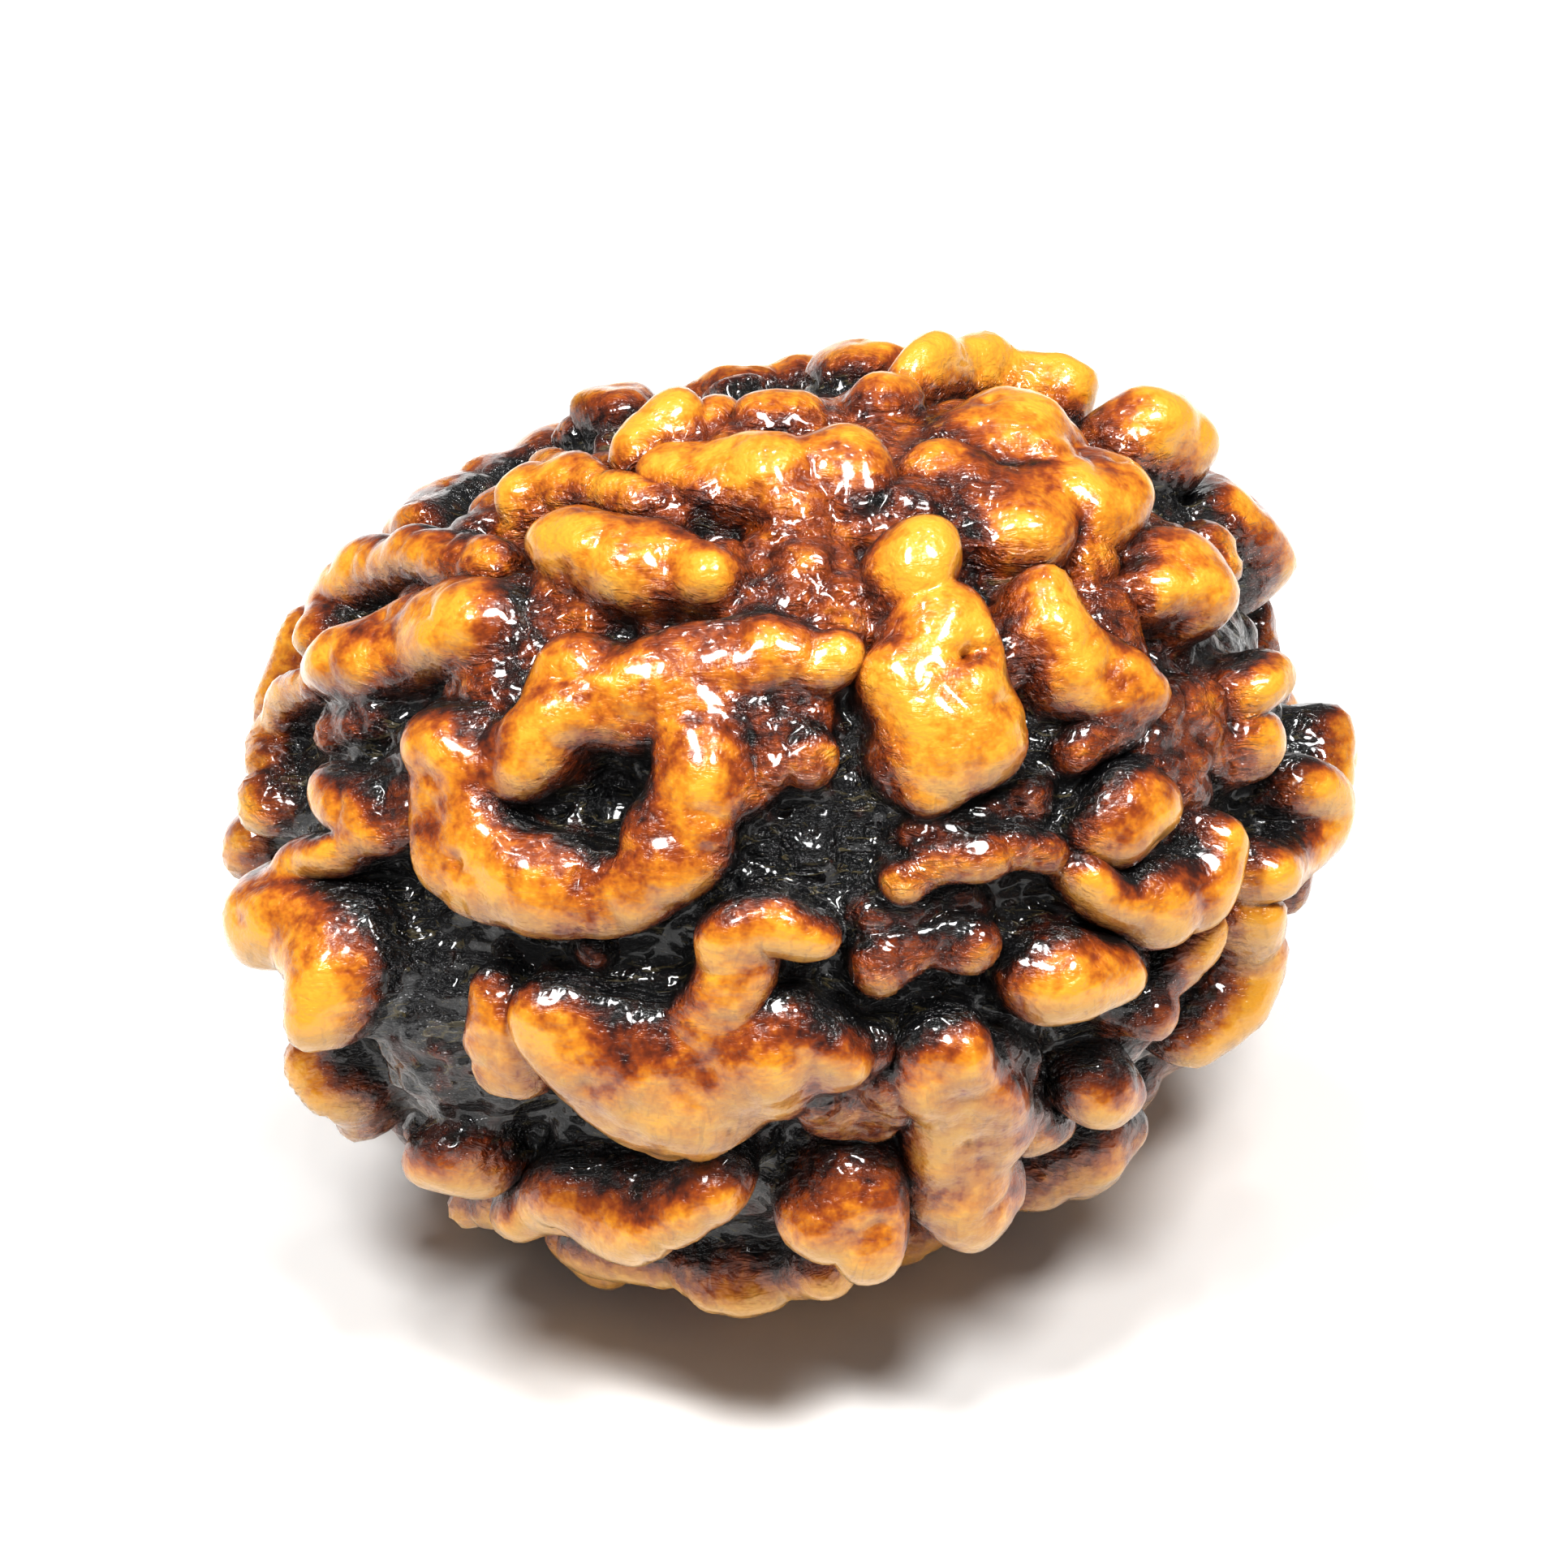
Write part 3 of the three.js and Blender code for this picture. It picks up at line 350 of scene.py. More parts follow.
# Small hollows in the ridges and in the floor of the ring, with their depth
FACE_HOLLOWS = [
    ("eye of the pendant", 1.4, [(4.6, 3.4, 0.55)]),
    ("dent in the top bean", 0.5, [(0.1, 8.5, 0.8), (0.9, 8.3, 0.6)]),
    ("bottom of the ring", 0.8, [(-5, 0.3, 1), (-4.6, -0.7, 1)]),
    ("groove into the ring", 0.5, [(-7.4, 0, 0.45), (-6.5, 0, 0.5)]),
    ("dent in the great lobe", 0.4, [(5.9, 8.6, 0.7), (6.9, 8.5, 0.5)]),
    ("hollow by the lower right knob", 0.8, [(6.9, -7.9, 0.6)]),
    ("dip at the right edge", 1.3, [(13.5, 1.7, 1.3)]),
    ("dip at the upper right edge", 1.2, [(10.8, 7.8, 1.5)]),
    ("dip at the top edge", 1.1, [(1.3, 11.5, 1.2)]),
    ("dip over the crescent", 1, [(-4.6, 10.3, 1.3)]),
    ("dip at the upper left edge", 1.1, [(-9.1, 8.2, 1.3)]),
    ("dip at the left edge", 1.2, [(-13.8, -1.45, 0.9)]),
    ("dip at the lower right edge", 1.2, [(6.6, -9.6, 1.2)]),
]

# Ridges that the stone rests on. Each path lists (along X, along Y, half width) on a sheet under the stone.
REST_RIDGES = [
    ("middle foot", 2, [(-2.6, 0.3, 1.5), (0.2, -0.4, 1.7), (1.9, 0.7, 1.2)]),
    ("front foot", 2.1, [(-0.6, -3.9, 1.2), (1.6, -3.5, 1.2)]),
    ("left foot", 2.1, [(-4.4, 3.2, 1.1), (-2.6, 3.9, 1.1)]),
    ("right foot", 2.2, [(2.4, 3.9, 1.1), (4.3, 2.6, 1.1)]),
]

ACROSS = np.array([1.0, 0, 0])
UP = np.array([0, np.sin(FACE_ELEVATION), np.cos(FACE_ELEVATION)])
OUT = np.array([0, -np.cos(FACE_ELEVATION), np.sin(FACE_ELEVATION)])
FACE_SHEET = (ACROSS, UP, OUT)
REST_SHEET = (ACROSS, np.array([0, 1.0, 0]), np.array([0, 0, -1.0]))
LONG_AXIS = np.cos(LONG_AXIS_TILT) * ACROSS + np.sin(LONG_AXIS_TILT) * UP
STALK_AXIS = np.cos(STALK_AXIS_TILT) * ACROSS + np.sin(STALK_AXIS_TILT) * UP
ACROSS_LONG_AXIS = np.cross(OUT, LONG_AXIS)


def unit(vectors):
    """Each vector divided by its own length."""
    return vectors / np.linalg.norm(vectors, axis=-1, keepdims=True)


def eased(value, low, high):
    """0 below low, 1 above high, and 3 s^2 - 2 s^3 of the share s of the way between them."""
    share = np.clip((value - low) / (high - low), 0, 1)
    return share * share * (3 - 2 * share)


def crest_product(p, q):
    """Product of two vectors in which the crest ellipsoid is the sphere of radius 1."""
    across = 1 / CREST_HALF_WIDTH**2
    along = 1 / CREST_HALF_LENGTH**2
    return (p * q).sum(-1) * across + (p @ LONG_AXIS) * (q @ LONG_AXIS) * (along - across)


def crest_spot(direction):
    """Where a ray from the middle of the core meets the crest ellipsoid."""
    return direction / np.sqrt(crest_product(direction, direction))[..., None]


def core_radius(direction):
    """Radius of the core: 1 over the root of (along / half length)^2 + (across / half width)^2."""
    along = direction @ LONG_AXIS
    across = np.sqrt(np.maximum(0, 1 - along**2))
    return 1 / np.hypot(along / CORE_HALF_LENGTH, across / CORE_HALF_WIDTH)


def spot_seen(sheet, across, up):
    """The spot of the crest ellipsoid that the eye sees through a point of a sheet, or the nearest spot of
    its edge for a point beside it: the near root of the quadratic of the line of sight."""
    eye = sheet[2] * SIGHT_DISTANCE
    sight = unit(sheet[0] * across + sheet[1] * up - eye)
    square = crest_product(sight, sight)
    middle = crest_product(eye, sight)
    rest = crest_product(eye, eye) - 1
    root = np.sqrt(max(0, middle * middle - square * rest))
    return crest_spot(unit(eye + sight * (-middle - root) / square))


def laid_ridge(sheet, ridge, is_widened):
    """A ridge's height, spots and half widths. Ridges of the face grow wider towards its edge."""
    _, height, path = ridge
    spots = []
    for across, up, half in path:
        spot = spot_seen(sheet, across, up)
        facing = max(0.01, unit(spot) @ sheet[2])
        share = FACE_WIDTH_SHARE * min(EDGE_WIDENING, 1 / np.sqrt(facing)) if is_widened else 1
        spots.append((spot, half * share))
    return height, spots


RIDGES = [laid_ridge(FACE_SHEET, ridge, True) for ridge in FACE_RIDGES + FACE_WEBS]
RIDGES += [laid_ridge(REST_SHEET, ridge, False) for ridge in REST_RIDGES]
SWELLS = [laid_ridge(FACE_SHEET, swell, False) for swell in FACE_SWELLS]
HOLLOWS = [laid_ridge(FACE_SHEET, hollow, False) for hollow in FACE_HOLLOWS]


def random_numbers(seed):
    """Random numbers from 0 to 1 by the rule of Park and Miller."""
    state = seed
    while True:
        state = state * RANDOM_FACTOR % RANDOM_MODULUS
        yield state / RANDOM_MODULUS


def waves_of(spacing, seed, turn):
    """Plane waves of one spacing that run in all directions, evenly spread, each with a random phase."""
    numbers = random_numbers(seed)
    wave = np.arange(WAVE_COUNT)
    level = 1 - (2 * wave + 1) / WAVE_COUNT
    angle = wave * np.pi * (3 - np.sqrt(5)) + turn
    around = np.sqrt(1 - level * level)
    travel = np.stack([around * np.cos(angle), around * np.sin(angle), level])
    phase = np.array([next(numbers) for _ in wave]) * 2 * np.pi
    return travel * 2 * np.pi / spacing, phase


def wave_sum(points, spacing, seed, turn=0):
    """Sum of the sines of all waves at each point, scaled to a usual size of 1."""
    travel, phase = waves_of(spacing, seed, turn)
    return np.sin(points @ travel + phase).sum(1) * np.sqrt(2 / WAVE_COUNT)


def wandered(points):
    """Points moved a little way sideways by sines of sines, so that the ridges' edges wander."""
    x, y, z = points.T
    move_x = np.sin(1.1 * y + 1.4 * np.sin(0.8 * z)) + FINE_WARP_SHARE * np.sin(2.9 * z + np.sin(2.1 * y))
    move_y = np.sin(1.2 * z + 1.3 * np.sin(0.9 * x)) + FINE_WARP_SHARE * np.sin(2.7 * x + np.sin(2.4 * z))
    move_z = np.sin(x + 1.5 * np.sin(0.8 * y)) + FINE_WARP_SHARE * np.sin(3 * y + np.sin(2.2 * x))
    return points + WARP * np.stack([move_x, move_y, move_z], -1)


def unevenness(points):
    """Factor near 1 that raises and lowers the ridges along their length by products of sines."""
    x, y, z = points.T
    broad = np.sin(1.5 * x + 1.2 * np.sin(0.9 * z)) * np.sin(1.4 * y + 0.8 * x)
    fine = np.sin(3.1 * z + 1.1 * np.sin(2 * x)) * np.sin(2.7 * x - 1.6 * y)
    return 1 + UNEVENNESS * (broad + FINE_UNEVENNESS_SHARE * fine)


def distance_to(spots, points):
    """Distance from each point to a ridge's middle line: as a share of its half width, and beyond it."""
    share = np.full(len(points), np.inf)
    beyond = np.full(len(points), np.inf)
    for place, (start, start_half) in enumerate(spots):
        end, end_half = spots[min(place + 1, len(spots) - 1)]
        stretch = end - start
        square = max(stretch @ stretch, 1e-18)
        along = np.clip((points - start) @ stretch / square, 0, 1)
        half = start_half + (end_half - start_half) * along
        off = np.linalg.norm(points - start - along[:, None] * stretch, axis=1)
        share = np.minimum(share, off / half)
        beyond = np.minimum(beyond, off - half)
    return share, beyond


def dome(share):
    """Rounded top: 1 on the middle line, 0 from the half width outwards, (1 - s^bluntness)^steepness."""
    return (1 - np.clip(share, 0, 1) ** TOP_BLUNTNESS) ** FLANK_STEEPNESS


def ridge_section(share, beyond):
    """The dome, on a skirt that falls with the square of the distance beyond the half width."""
    skirt = np.clip(1 - beyond / SKIRT_WIDTH, 0, 1) ** 2
    return (1 - SKIRT_SHARE) * dome(share) + SKIRT_SHARE * skirt


def merged(first, second):
    """The higher of two heights, raised a little where two ridges of like height meet."""
    nearness = np.maximum(0, MERGE_HEIGHT - np.abs(first - second))
    lower = np.minimum(1, np.minimum(first, second) / MERGE_HEIGHT)
    return np.maximum(first, second) + nearness**2 / (4 * MERGE_HEIGHT) * lower


def furrow_clearance(points):
    """Distance from the nearest of the planes through the long axis in which the furrows run."""
    out = points @ OUT
    side = points @ ACROSS_LONG_AXIS
    pitch = 2 * np.pi / FURROW_COUNT
    turned = np.arctan2(side, out) - FURROW_ANGLE
    off = turned - pitch * np.round(turned / pitch)
    return np.hypot(out, side) * np.abs(np.sin(off)) - FURROW_HALF_WIDTH


def grown_height(points, kind, kept_low):
    """Ridge section wherever the sum of waves rises above a level, which is higher where kept low."""
    rise = wave_sum(points, kind["spacing"], kind["seed"], kind["turn"]) - kind["level"] - kept_low
    return kind["height"] * ridge_section(1 - rise / kind["width"], -rise * kind["flank"])


def closeness(beyond, reach):
    """1 at and inside an edge, falling evenly to 0 at a reach beyond it."""
    return 1 - np.clip(beyond / reach, 0, 1)


def relief(direction):
    """Height of the ridges: the laid ones, and folds, knobs and webs where the face, the furrows and the
    laid ridges leave room for them, less the hollows, each its depth times (1 - s^2)^1.5 of the share s of
    its half width. With it goes the share to which the top side is lowered."""
    points = wandered(crest_spot(direction))
    height = np.zeros(len(points))
    clearance = np.full(len(points), np.inf)
    for ridge_height, spots in RIDGES:
        middle = np.mean([spot for spot, _ in spots], axis=0)
        reach = ROOM_ROUND_RIDGE + max(np.linalg.norm(spot - middle) + half for spot, half in spots)
        near = np.flatnonzero(((points - middle) ** 2).sum(1) < reach**2)
        share, beyond = distance_to(spots, points[near])
        height[near] = merged(height[near], ridge_height * ridge_section(share, beyond))
        clearance[near] = np.minimum(clearance[near], beyond)
    facing = direction @ OUT
    top_side = direction @ UP
    kept_low = LOW_BY_RIDGE["share"] * closeness(clearance, LOW_BY_RIDGE["reach"])
    kept_low += LOW_BY_FURROW["share"] * closeness(furrow_clearance(points), LOW_BY_FURROW["reach"])
    kept_low += LOW_ON_FACE * eased(facing, *FACE_STARTS)
    height = merged(height, grown_height(points, FOLDS, kept_low))
    height = merged(height, grown_height(points, KNOBS, kept_low))
    webs_room = eased(top_side, *WEBS_TOP_SIDE) + eased(facing, *WEBS_FACING)
    height = merged(height, grown_height(points, WEBS, WEBS_KEPT_LOW * (2 - webs_room)))
    height = height * unevenness(points)
    for depth, spots in HOLLOWS:
        share, _ = distance_to(spots, points)
        height -= depth * np.maximum(0, 1 - share**2) ** 1.5
    return height, 1 - TOP_SIDE_LOWERING * np.maximum(0, top_side) ** 2


def swell_height(points):
    """Sum of the swells, each its rise times (1 - s^2)^2 of the share s of its half width."""
    height = np.zeros(len(points))
    for rise, spots in SWELLS:
        share, _ = distance_to(spots, points)
        height += rise * np.maximum(0, 1 - share**2) ** 2
    return height


def waves_at(points, kind):
    """Sum of waves of a pattern's own spacing and seed at each point."""
    return wave_sum(points, kind["spacing"], kind["seed"])


def fine_detail(points, height):
    """Lumps, creases, grain and pits, and fibres on the floor of the furrows, all from sums of waves. A
    crease runs where a sum passes through 0, a pit lies where a sum is high, and a fibre is 1 less twice
    the size of the sine of a sum."""
    top = eased(height, *TOP_STARTS)
    floor = 1 - eased(height, *FLOOR_ENDS)
    lumps = LUMPS["height"] * waves_at(points, LUMPS)
    crease = 1 - eased(np.abs(waves_at(points, CREASES)), 0, CREASE_HALF_WIDTH)
    creases = CREASES["height"] * crease * (CREASE_LOW_SHARE + (1 - CREASE_LOW_SHARE) * top)
    grain = GRAIN["height"] * waves_at(points, GRAIN) * (GRAIN_LOW_SHARE - top)
    pit = eased(waves_at(points, PITS), *PIT_LEVELS)
    pits = PITS["height"] * pit * (PIT_LOW_SHARE + (1 - PIT_LOW_SHARE) * top)
    stretched = points - FIBRE_STRETCH * (points @ LONG_AXIS)[:, None] * LONG_AXIS
    fibre = 1 - 2 * np.abs(np.sin(waves_at(stretched, FIBRES) * FIBRES_PER_WAVE))
    return lumps - creases + grain - pits + FIBRES["height"] * fibre * floor


def surface_radius(direction):
    """Radius of the stone: the core, the swells, the relief and a dimple at each end."""
    height, lowering = relief(direction)
    core = core_radius(direction) + swell_height(crest_spot(direction))
    along_stalk = np.minimum(1, np.abs(direction @ STALK_AXIS))
    off_stalk = CORE_HALF_LENGTH * np.sqrt(1 - along_stalk**2)
    return core + height * lowering - DIMPLE_DEPTH * dome(off_stalk / DIMPLE_RADIUS), height


def cut_at_rest(direction, radius):
    """Radius cut off at the resting plane, rest depth over the downward share of the direction."""
    down = np.maximum(1e-6, -direction[:, 2])
    return np.where(direction[:, 2] < 0, np.minimum(radius, REST_DEPTH / down), radius)


def cube_sphere(cells):
    """Directions and four-sided faces of a cube's surface, spread over the sphere at even angles: each
    coordinate of a lattice point from -1 to 1 becomes the tangent of 45 degrees times it."""
    steps = np.arange(cells + 1)
    a, b = np.meshgrid(steps, steps, indexing="ij")
    corners = []
    faces = []
    for axis in range(3):
        for side in (0, cells):
            grid = np.zeros((cells + 1, cells + 1, 3), int)
            grid[..., axis] = side
            grid[..., (axis + 1) % 3] = a
            grid[..., (axis + 2) % 3] = b
            first = len(corners) * (cells + 1) ** 2
            place = first + np.arange((cells + 1) ** 2).reshape(cells + 1, cells + 1)
            face = np.stack([place[:-1, :-1], place[1:, :-1], place[1:, 1:], place[:-1, 1:]], -1)
            face = face.reshape(-1, 4)
            faces.append(face if side else face[:, ::-1])
            corners.append(grid.reshape(-1, 3))
    lattice, joined = np.unique(np.concatenate(corners), axis=0, return_inverse=True)
    faces = joined.reshape(-1)[np.concatenate(faces)]
    return unit(np.tan(np.pi / 4 * (2 * lattice / cells - 1))), faces


def neighbour_mean(values, ends):
    """Mean of the values of each vertex's neighbours along the faces' edges."""
    count = len(values)
    total = np.zeros_like(values)
    for column in range(values.shape[1]):
        total[:, column] = np.bincount(ends[:, 0], values[ends[:, 1], column], count)
        total[:, column] += np.bincount(ends[:, 1], values[ends[:, 0], column], count)
    return total / np.bincount(ends.ravel(), minlength=count)[:, None]


def evened(values, ends, rounds):
    """Values moved halfway to the mean of their neighbours, round by round, which takes out zigzags."""
    for _ in range(rounds):
        values = (values + neighbour_mean(values, ends)) / 2
    return values


def edges_of(faces):
    """Each edge of the faces once, as a pair of vertices."""
    ends = np.concatenate([faces[:, [corner, (corner + 1) % 4]] for corner in range(4)])
    return np.unique(np.sort(ends, axis=1), axis=0)


def spread(directions, ends):
    """Directions moved towards the middle of their neighbours on the surface, round by round, so that the
    steep flanks get as many faces as the tops."""
    for _ in range(SPREADING_ROUNDS):
        radius, _ = surface_radius(directions)
        points = directions * radius[:, None]
        directions = unit(points + SPREADING_PULL * (neighbour_mean(points, ends) - points))
    return directions


def normals_of(points, faces):
    """Unit normals at the vertices: the sum of the cross products of the faces' diagonals."""
    a, b, c, d = (points[faces[:, corner]] for corner in range(4))
    cross = np.cross(c - a, d - b)
    total = np.zeros_like(points)
    for corner in range(4):
        for column in range(3):
            total[:, column] += np.bincount(faces[:, corner], cross[:, column], len(points))
    return unit(total)


def fitted(points, box):
    """Points scaled and moved along each axis so that their box is the given one, and the place that the
    middle of the core comes to."""
    low, high = points.min(0), points.max(0)
    scale = (box[1] - box[0]) / (high - low)
    return box[0] + (points - low) * scale, box[0] - low * scale


def stone_surface():
    """Vertices in metres, faces, what the colour goes by at each vertex, and the core's middle. Upper and
    under sides go by the upward share of the normal, and the bulge by how far a vertex stands out from
    the mean of its neighbours. The bulge paints highlight on the crests and shade in the hollows."""
    directions, faces = cube_sphere(CELLS)
    ends = edges_of(faces)
    directions = spread(directions, ends)
    radius, height = evened(np.stack(surface_radius(directions), -1), ends, SMOOTHING_ROUNDS).T
    points = directions * radius[:, None]
    normals = normals_of(points, faces)
    bulge = ((points - neighbour_mean(points, ends)) * normals).sum(1)
    bulge = evened(bulge[:, None], ends, BULGE_ROUNDS)[:, 0]
    radius = cut_at_rest(directions, radius + fine_detail(points, height))
    points = directions * radius[:, None]
    normals = unit(evened(normals_of(points, faces), ends, SIDE_ROUNDS))
    sideways = normals - (normals * directions).sum(1)[:, None] * directions
    looks = {
        "height": height,
        "bulge": bulge * BULGE_SCALE,
        "warmth": eased(directions @ UP, *WARM_UPWARD) * eased(directions @ OUT, *WARM_OUTWARD),
        "upper_side": np.clip(sideways @ UP, 0, 1) * eased(height, *UPPER_SIDE_STARTS),
        "under_side": eased(-(normals @ UP), *UNDER_SIDE_TURN) * eased(height, *UNDER_SIDE_STARTS),
    }
    lean = OVERHANG * eased(height, *OVERHANG_STARTS)
    points = evened(points + lean[:, None] * sideways, ends, 1)
    points, core_middle = fitted(points / 1000, np.array(CAD_BOX, dtype=float))
    return points, faces, looks, core_middle


def make_mesh(name, points, faces, attributes):
    """A smooth mesh of four-sided faces, with a number at each vertex for each attribute."""
    mesh = bpy.data.meshes.new(name)
    mesh.from_pydata(points.tolist(), [], faces.tolist())
    mesh.polygons.foreach_set("use_smooth", np.ones(len(faces), bool))
    for title, values in attributes.items():
        layer = mesh.attributes.new(title, "FLOAT", "POINT")
        layer.data.foreach_set("value", values.astype(np.float32))
    return add_object(name, mesh)


class Shader:
    """A material's node tree, with short ways to add nodes and join them."""

    def __init__(self, name):
        self.material = bpy.data.materials.new(name)
        self.material.use_nodes = True
        self.tree = self.material.node_tree
        self.surface = self.tree.nodes["Principled BSDF"]

    def node(self, kind, inputs=None, **settings):
        """A new node with its inputs fed and its settings made."""
        made = self.tree.nodes.new("ShaderNode" + kind)
        for key, value in settings.items():
            setattr(made, key, value)
        for key, value in (inputs or {}).items():
            self.feed(made.inputs[key], value)
        return made

    def feed(self, socket, value):
        """Link an output to a socket, or set the socket's own value."""
        if isinstance(value, bpy.types.NodeSocket):
            self.tree.links.new(value, socket)
        else:
            socket.default_value = value

    def finish_with(self, **values):
        """Set or link sockets of the surface, named with underscores for their spaces."""
        for title, value in values.items():
            self.feed(self.surface.inputs[title.replace("_", " ")], value)

    def attribute(self, title):
        return self.node("Attribute", attribute_name=title).outputs["Fac"]

    def place(self):
        return self.node("TexCoord").outputs["Object"]

    def stretched(self, place, scale, turn=(0, 0, 0)):
        return self.node("Mapping", {"Vector": place, "Rotation": turn, "Scale": scale}).outputs[0]

    def maths(self, operation, *values):
        made = self.node("Math", operation=operation)
        for place, value in enumerate(values):
            self.feed(made.inputs[place], value)
        return made.outputs[0]

    def product(self, first, second):
        return self.maths("MULTIPLY", first, second)

    def weighted_sum(self, start, *parts):
        """The start plus each value times its weight."""
        total = start
        for value, weight in parts:
            total = self.maths("MULTIPLY_ADD", value, weight, total)
        return total

    def rising(self, value, low, high):
        """0 below low, 1 above high and a smooth rise between them."""
        made = self.node("MapRange", {"Value": value, "From Min": low, "From Max": high},
                         interpolation_type="SMOOTHSTEP")
        return made.outputs[0]

    def falling(self, value, low, high):
        """1 less the smooth rise."""
        return self.maths("SUBTRACT", 1.0, self.rising(value, low, high))

    def mixed(self, share, first, second):
        made = self.node("Mix", data_type="RGBA")
        self.feed(made.inputs["Factor"], share)
        self.feed(made.inputs[6], first)
        self.feed(made.inputs[7], second)
        return made.outputs[2]

    def ramp(self, value, stops):
        """Colours over a value. Each stop has a position and a colour, from the lowest to the highest."""
        made = self.node("ValToRGB", {"Fac": value})
        elements = made.color_ramp.elements
        elements[1].position = stops[-1][0]
        elements[1].color = (*stops[-1][1], 1)
        elements[0].position = stops[0][0]
        elements[0].color = (*stops[0][1], 1)
        for position, colour in stops[1:-1]:
            elements.new(position).color = (*colour, 1)
        return made.outputs["Color"]

    def noise(self, place, scale, detail, roughness=0.5, distortion=0.0):
        made = self.node("TexNoise", {"Vector": place, "Scale": scale, "Detail": detail,
                                      "Roughness": roughness, "Distortion": distortion})
        return made.outputs["Fac"]

    def bumped(self, height, distance):
        made = self.node("Bump", {"Height": height, "Strength": BUMP_STRENGTH, "Distance": distance})
        return made.outputs["Normal"]


def oiled_stone_material():
    """Golden tops, red-brown flanks and near-black fibrous furrows under a thin film of oil. The tone that
    the colour follows is a weighted sum of the height, the bulge, the sides and three noises. Its fall with
    height is partly painted shade, the bulge paints highlight on crests and shade in hollows, and the tan
    mixed onto the under sides is painted shade and floor bounce."""
    shader = Shader("oiled_stone")
    place = shader.place()
    height = shader.attribute("height")
    under_side = shader.attribute("under_side")
    blotches = shader.noise(place, BLOTCHES_TO_METRE, 4, 0.6)
    speckle = shader.noise(place, SPECKLE_TO_METRE, 3, 0.65)
    grain = shader.noise(place, GRAIN_TO_METRE, 2, 0.6)
    tone = shader.weighted_sum(
        TONE_LEVEL,
        # Darker with less height: partly the wood's own colour, partly painted shade on the flanks and in
        # the furrows
        (height, TONE_OF_HEIGHT),
        (shader.product(shader.attribute("warmth"), shader.falling(height, *WARM_UP_TO)), TONE_OF_WARMTH),
        (shader.attribute("upper_side"), TONE_OF_UPPER_SIDE),
        # Painted highlight on the crests and painted shade in the hollows
        (shader.attribute("bulge"), 1.0),
        (blotches, TONE_OF_BLOTCHES),
        (speckle, TONE_OF_SPECKLE),
        (grain, TONE_OF_GRAIN),
    )
    wood = shader.ramp(tone, WOOD_TONES)

    # Painted shade and floor bounce on the under sides, mixed over the lighter tones
    under_side_shade = shader.product(under_side, shader.rising(tone, *UNDER_SIDE_SHADE_TONES))
    wood = shader.mixed(shader.product(under_side_shade, UNDER_SIDE_SHADE_SHARE), wood, UNDER_SIDE_SHADE_COLOUR)
    streaks = shader.noise(shader.stretched(place, STREAK_STRETCH), STREAKS_TO_METRE, 3, 0.6, 2.2)
    streak = shader.product(shader.rising(streaks, *STREAK_LEVELS), under_side)
    wood = shader.mixed(shader.product(streak, STREAK_SHARE), wood, STREAK_COLOUR)

    along_stone = shader.stretched(place, STRAND_STRETCH, (0, -LONG_AXIS_TILT, 0))
    strands = shader.noise(along_stone, STRANDS_TO_METRE, 3, 0.65, 1.2)
    strand = shader.product(shader.rising(strands, *STRAND_LEVELS), shader.falling(height, *FLOOR_ENDS))
    wood = shader.mixed(shader.product(strand, STRAND_SHARE), wood, STRAND_COLOUR)

    rough_tops = shader.rising(height, *ROUGH_TOPS_START)
    roughness = shader.weighted_sum(LEAST_ROUGHNESS, (rough_tops, ROUGHER_TOPS))
    below_tops = shader.maths("SUBTRACT", BUMP_BELOW_TOPS, shader.rising(height, *CALM_TOPS_START))
    fine = shader.product(shader.weighted_sum(grain, (strands, BUMP_OF_STRANDS)), below_tops)
    relief_sum = shader.weighted_sum(fine, (speckle, BUMP_OF_SPECKLE))
    beads_share = shader.weighted_sum(BEADS_ON_FLOOR, (shader.rising(height, *BEADS_RISE), BEADS_RISE_BY))
    beads_share = shader.product(below_tops, beads_share)
    beads = shader.product(shader.noise(place, BEADS_TO_METRE, 1, 0.4), beads_share)
    shader.finish_with(
        Base_Color=wood,
        Roughness=roughness,
        IOR=WOOD_IOR,
        Specular_IOR_Level=WOOD_SPECULAR,
        Normal=shader.bumped(relief_sum, WOOD_BUMP),
        Coat_Weight=FILM_WEIGHT,
        Coat_Roughness=FILM_ROUGHNESS,
        Coat_Normal=shader.bumped(beads, FILM_BUMP),
    )
    return shader.material


def floor_material():
    """Matt white card with a very faint unevenness."""
    shader = Shader("white_surface")
    clouds = shader.noise(shader.place(), FLOOR_CLOUDS_TO_METRE, 2)
    shader.finish_with(Base_Color=shader.ramp(clouds, FLOOR_TINTS), Roughness=FLOOR_ROUGHNESS)
    return shader.material


def add_object(name, data):
    """An object with the given data, in the scene."""
    made = bpy.data.objects.new(name, data)
    bpy.context.collection.objects.link(made)
    return made


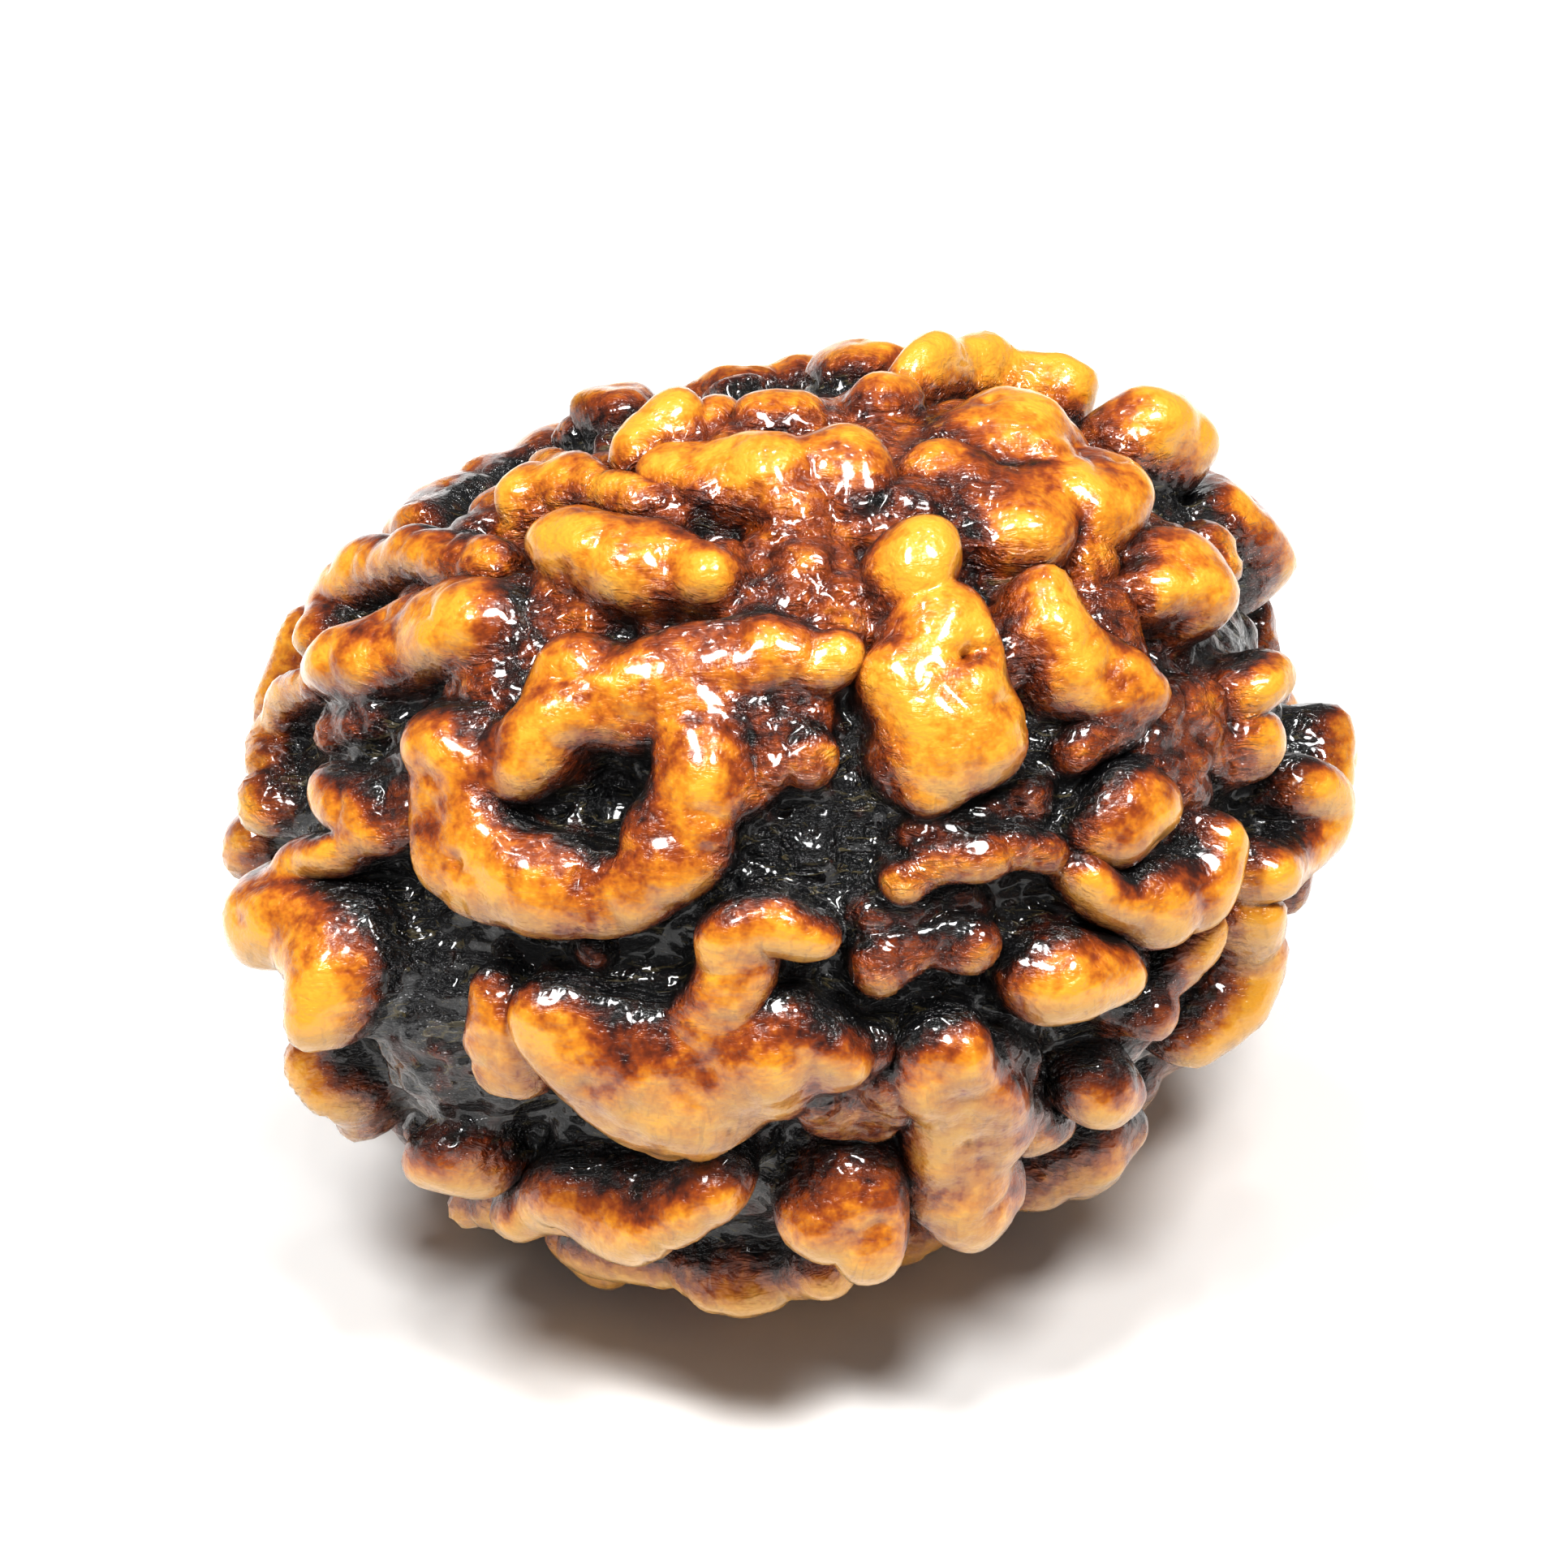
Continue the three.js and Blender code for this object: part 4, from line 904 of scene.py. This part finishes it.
def place_camera(core_middle):
    """Camera on the line through the core's middle that squarely faces the stone's face."""
    data = bpy.data.cameras.new("camera")
    data.sensor_width = SENSOR_WIDTH
    data.lens = CAMERA_DISTANCE * SENSOR_WIDTH / FRAME_WIDTH
    camera = add_object("camera", data)
    camera.location = Vector(core_middle + OUT * CAMERA_DISTANCE + ACROSS * AIM_ACROSS + UP * AIM_UP)
    camera.rotation_euler = Vector(OUT).to_track_quat("Z", "Y").to_euler()
    bpy.context.scene.camera = camera


def add_light(name, place, diameter, power):
    """A round white lamp that faces the lit point."""
    data = bpy.data.lights.new(name, "AREA")
    data.shape = "DISK"
    data.size = diameter
    data.energy = power
    light = add_object(name, data)
    light.location = place
    light.rotation_euler = (Vector(place) - Vector(LIT_POINT)).to_track_quat("Z", "Y").to_euler()


def add_lights():
    """The softboxes, and the small lamps evenly round their oval."""
    for name, place in SOFTBOXES:
        add_light(name, place, SOFTBOX_DIAMETER, SOFTBOX_POWER)
    for number in range(LAMP_COUNT):
        turn = 2 * np.pi * number / LAMP_COUNT
        across = LAMP_OVAL_MIDDLE[0] + LAMP_OVAL_REACH[0] * np.cos(turn)
        along = LAMP_OVAL_MIDDLE[1] + LAMP_OVAL_REACH[1] * np.sin(turn)
        add_light("glint_light_%d" % number, (across, along, LAMP_OVAL_MIDDLE[2]), LAMP_DIAMETER, LAMP_POWER)


def add_floor():
    """A flat square of white card, with its top at height 0."""
    half = FLOOR_HALF_WIDTH
    corners = [(-half, -half, 0), (half, -half, 0), (half, half, 0), (-half, half, 0)]
    mesh = bpy.data.meshes.new("floor")
    mesh.from_pydata(corners, [], [(0, 1, 2, 3)])
    mesh.materials.append(floor_material())
    add_object("floor", mesh)


def add_surroundings():
    """A dim white surround, and the exposure and contrast of the picture."""
    world = bpy.data.worlds.new("white_surround")
    world.use_nodes = True
    background = world.node_tree.nodes["Background"]
    background.inputs["Color"].default_value = (1, 1, 1, 1)
    background.inputs["Strength"].default_value = SURROUND_STRENGTH
    bpy.context.scene.world = world
    view = bpy.context.scene.view_settings
    view.view_transform = "Standard"
    view.exposure = EXPOSURE
    view.gamma = GAMMA


points, faces, looks, core_middle = stone_surface()
stone = make_mesh("oiled_rudraksha_stone", points, faces, looks)
stone.data.materials.append(oiled_stone_material())
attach(stone, "root")
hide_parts("rudraksha_stone")

place_camera(core_middle)
add_surroundings()
add_floor()
add_lights()
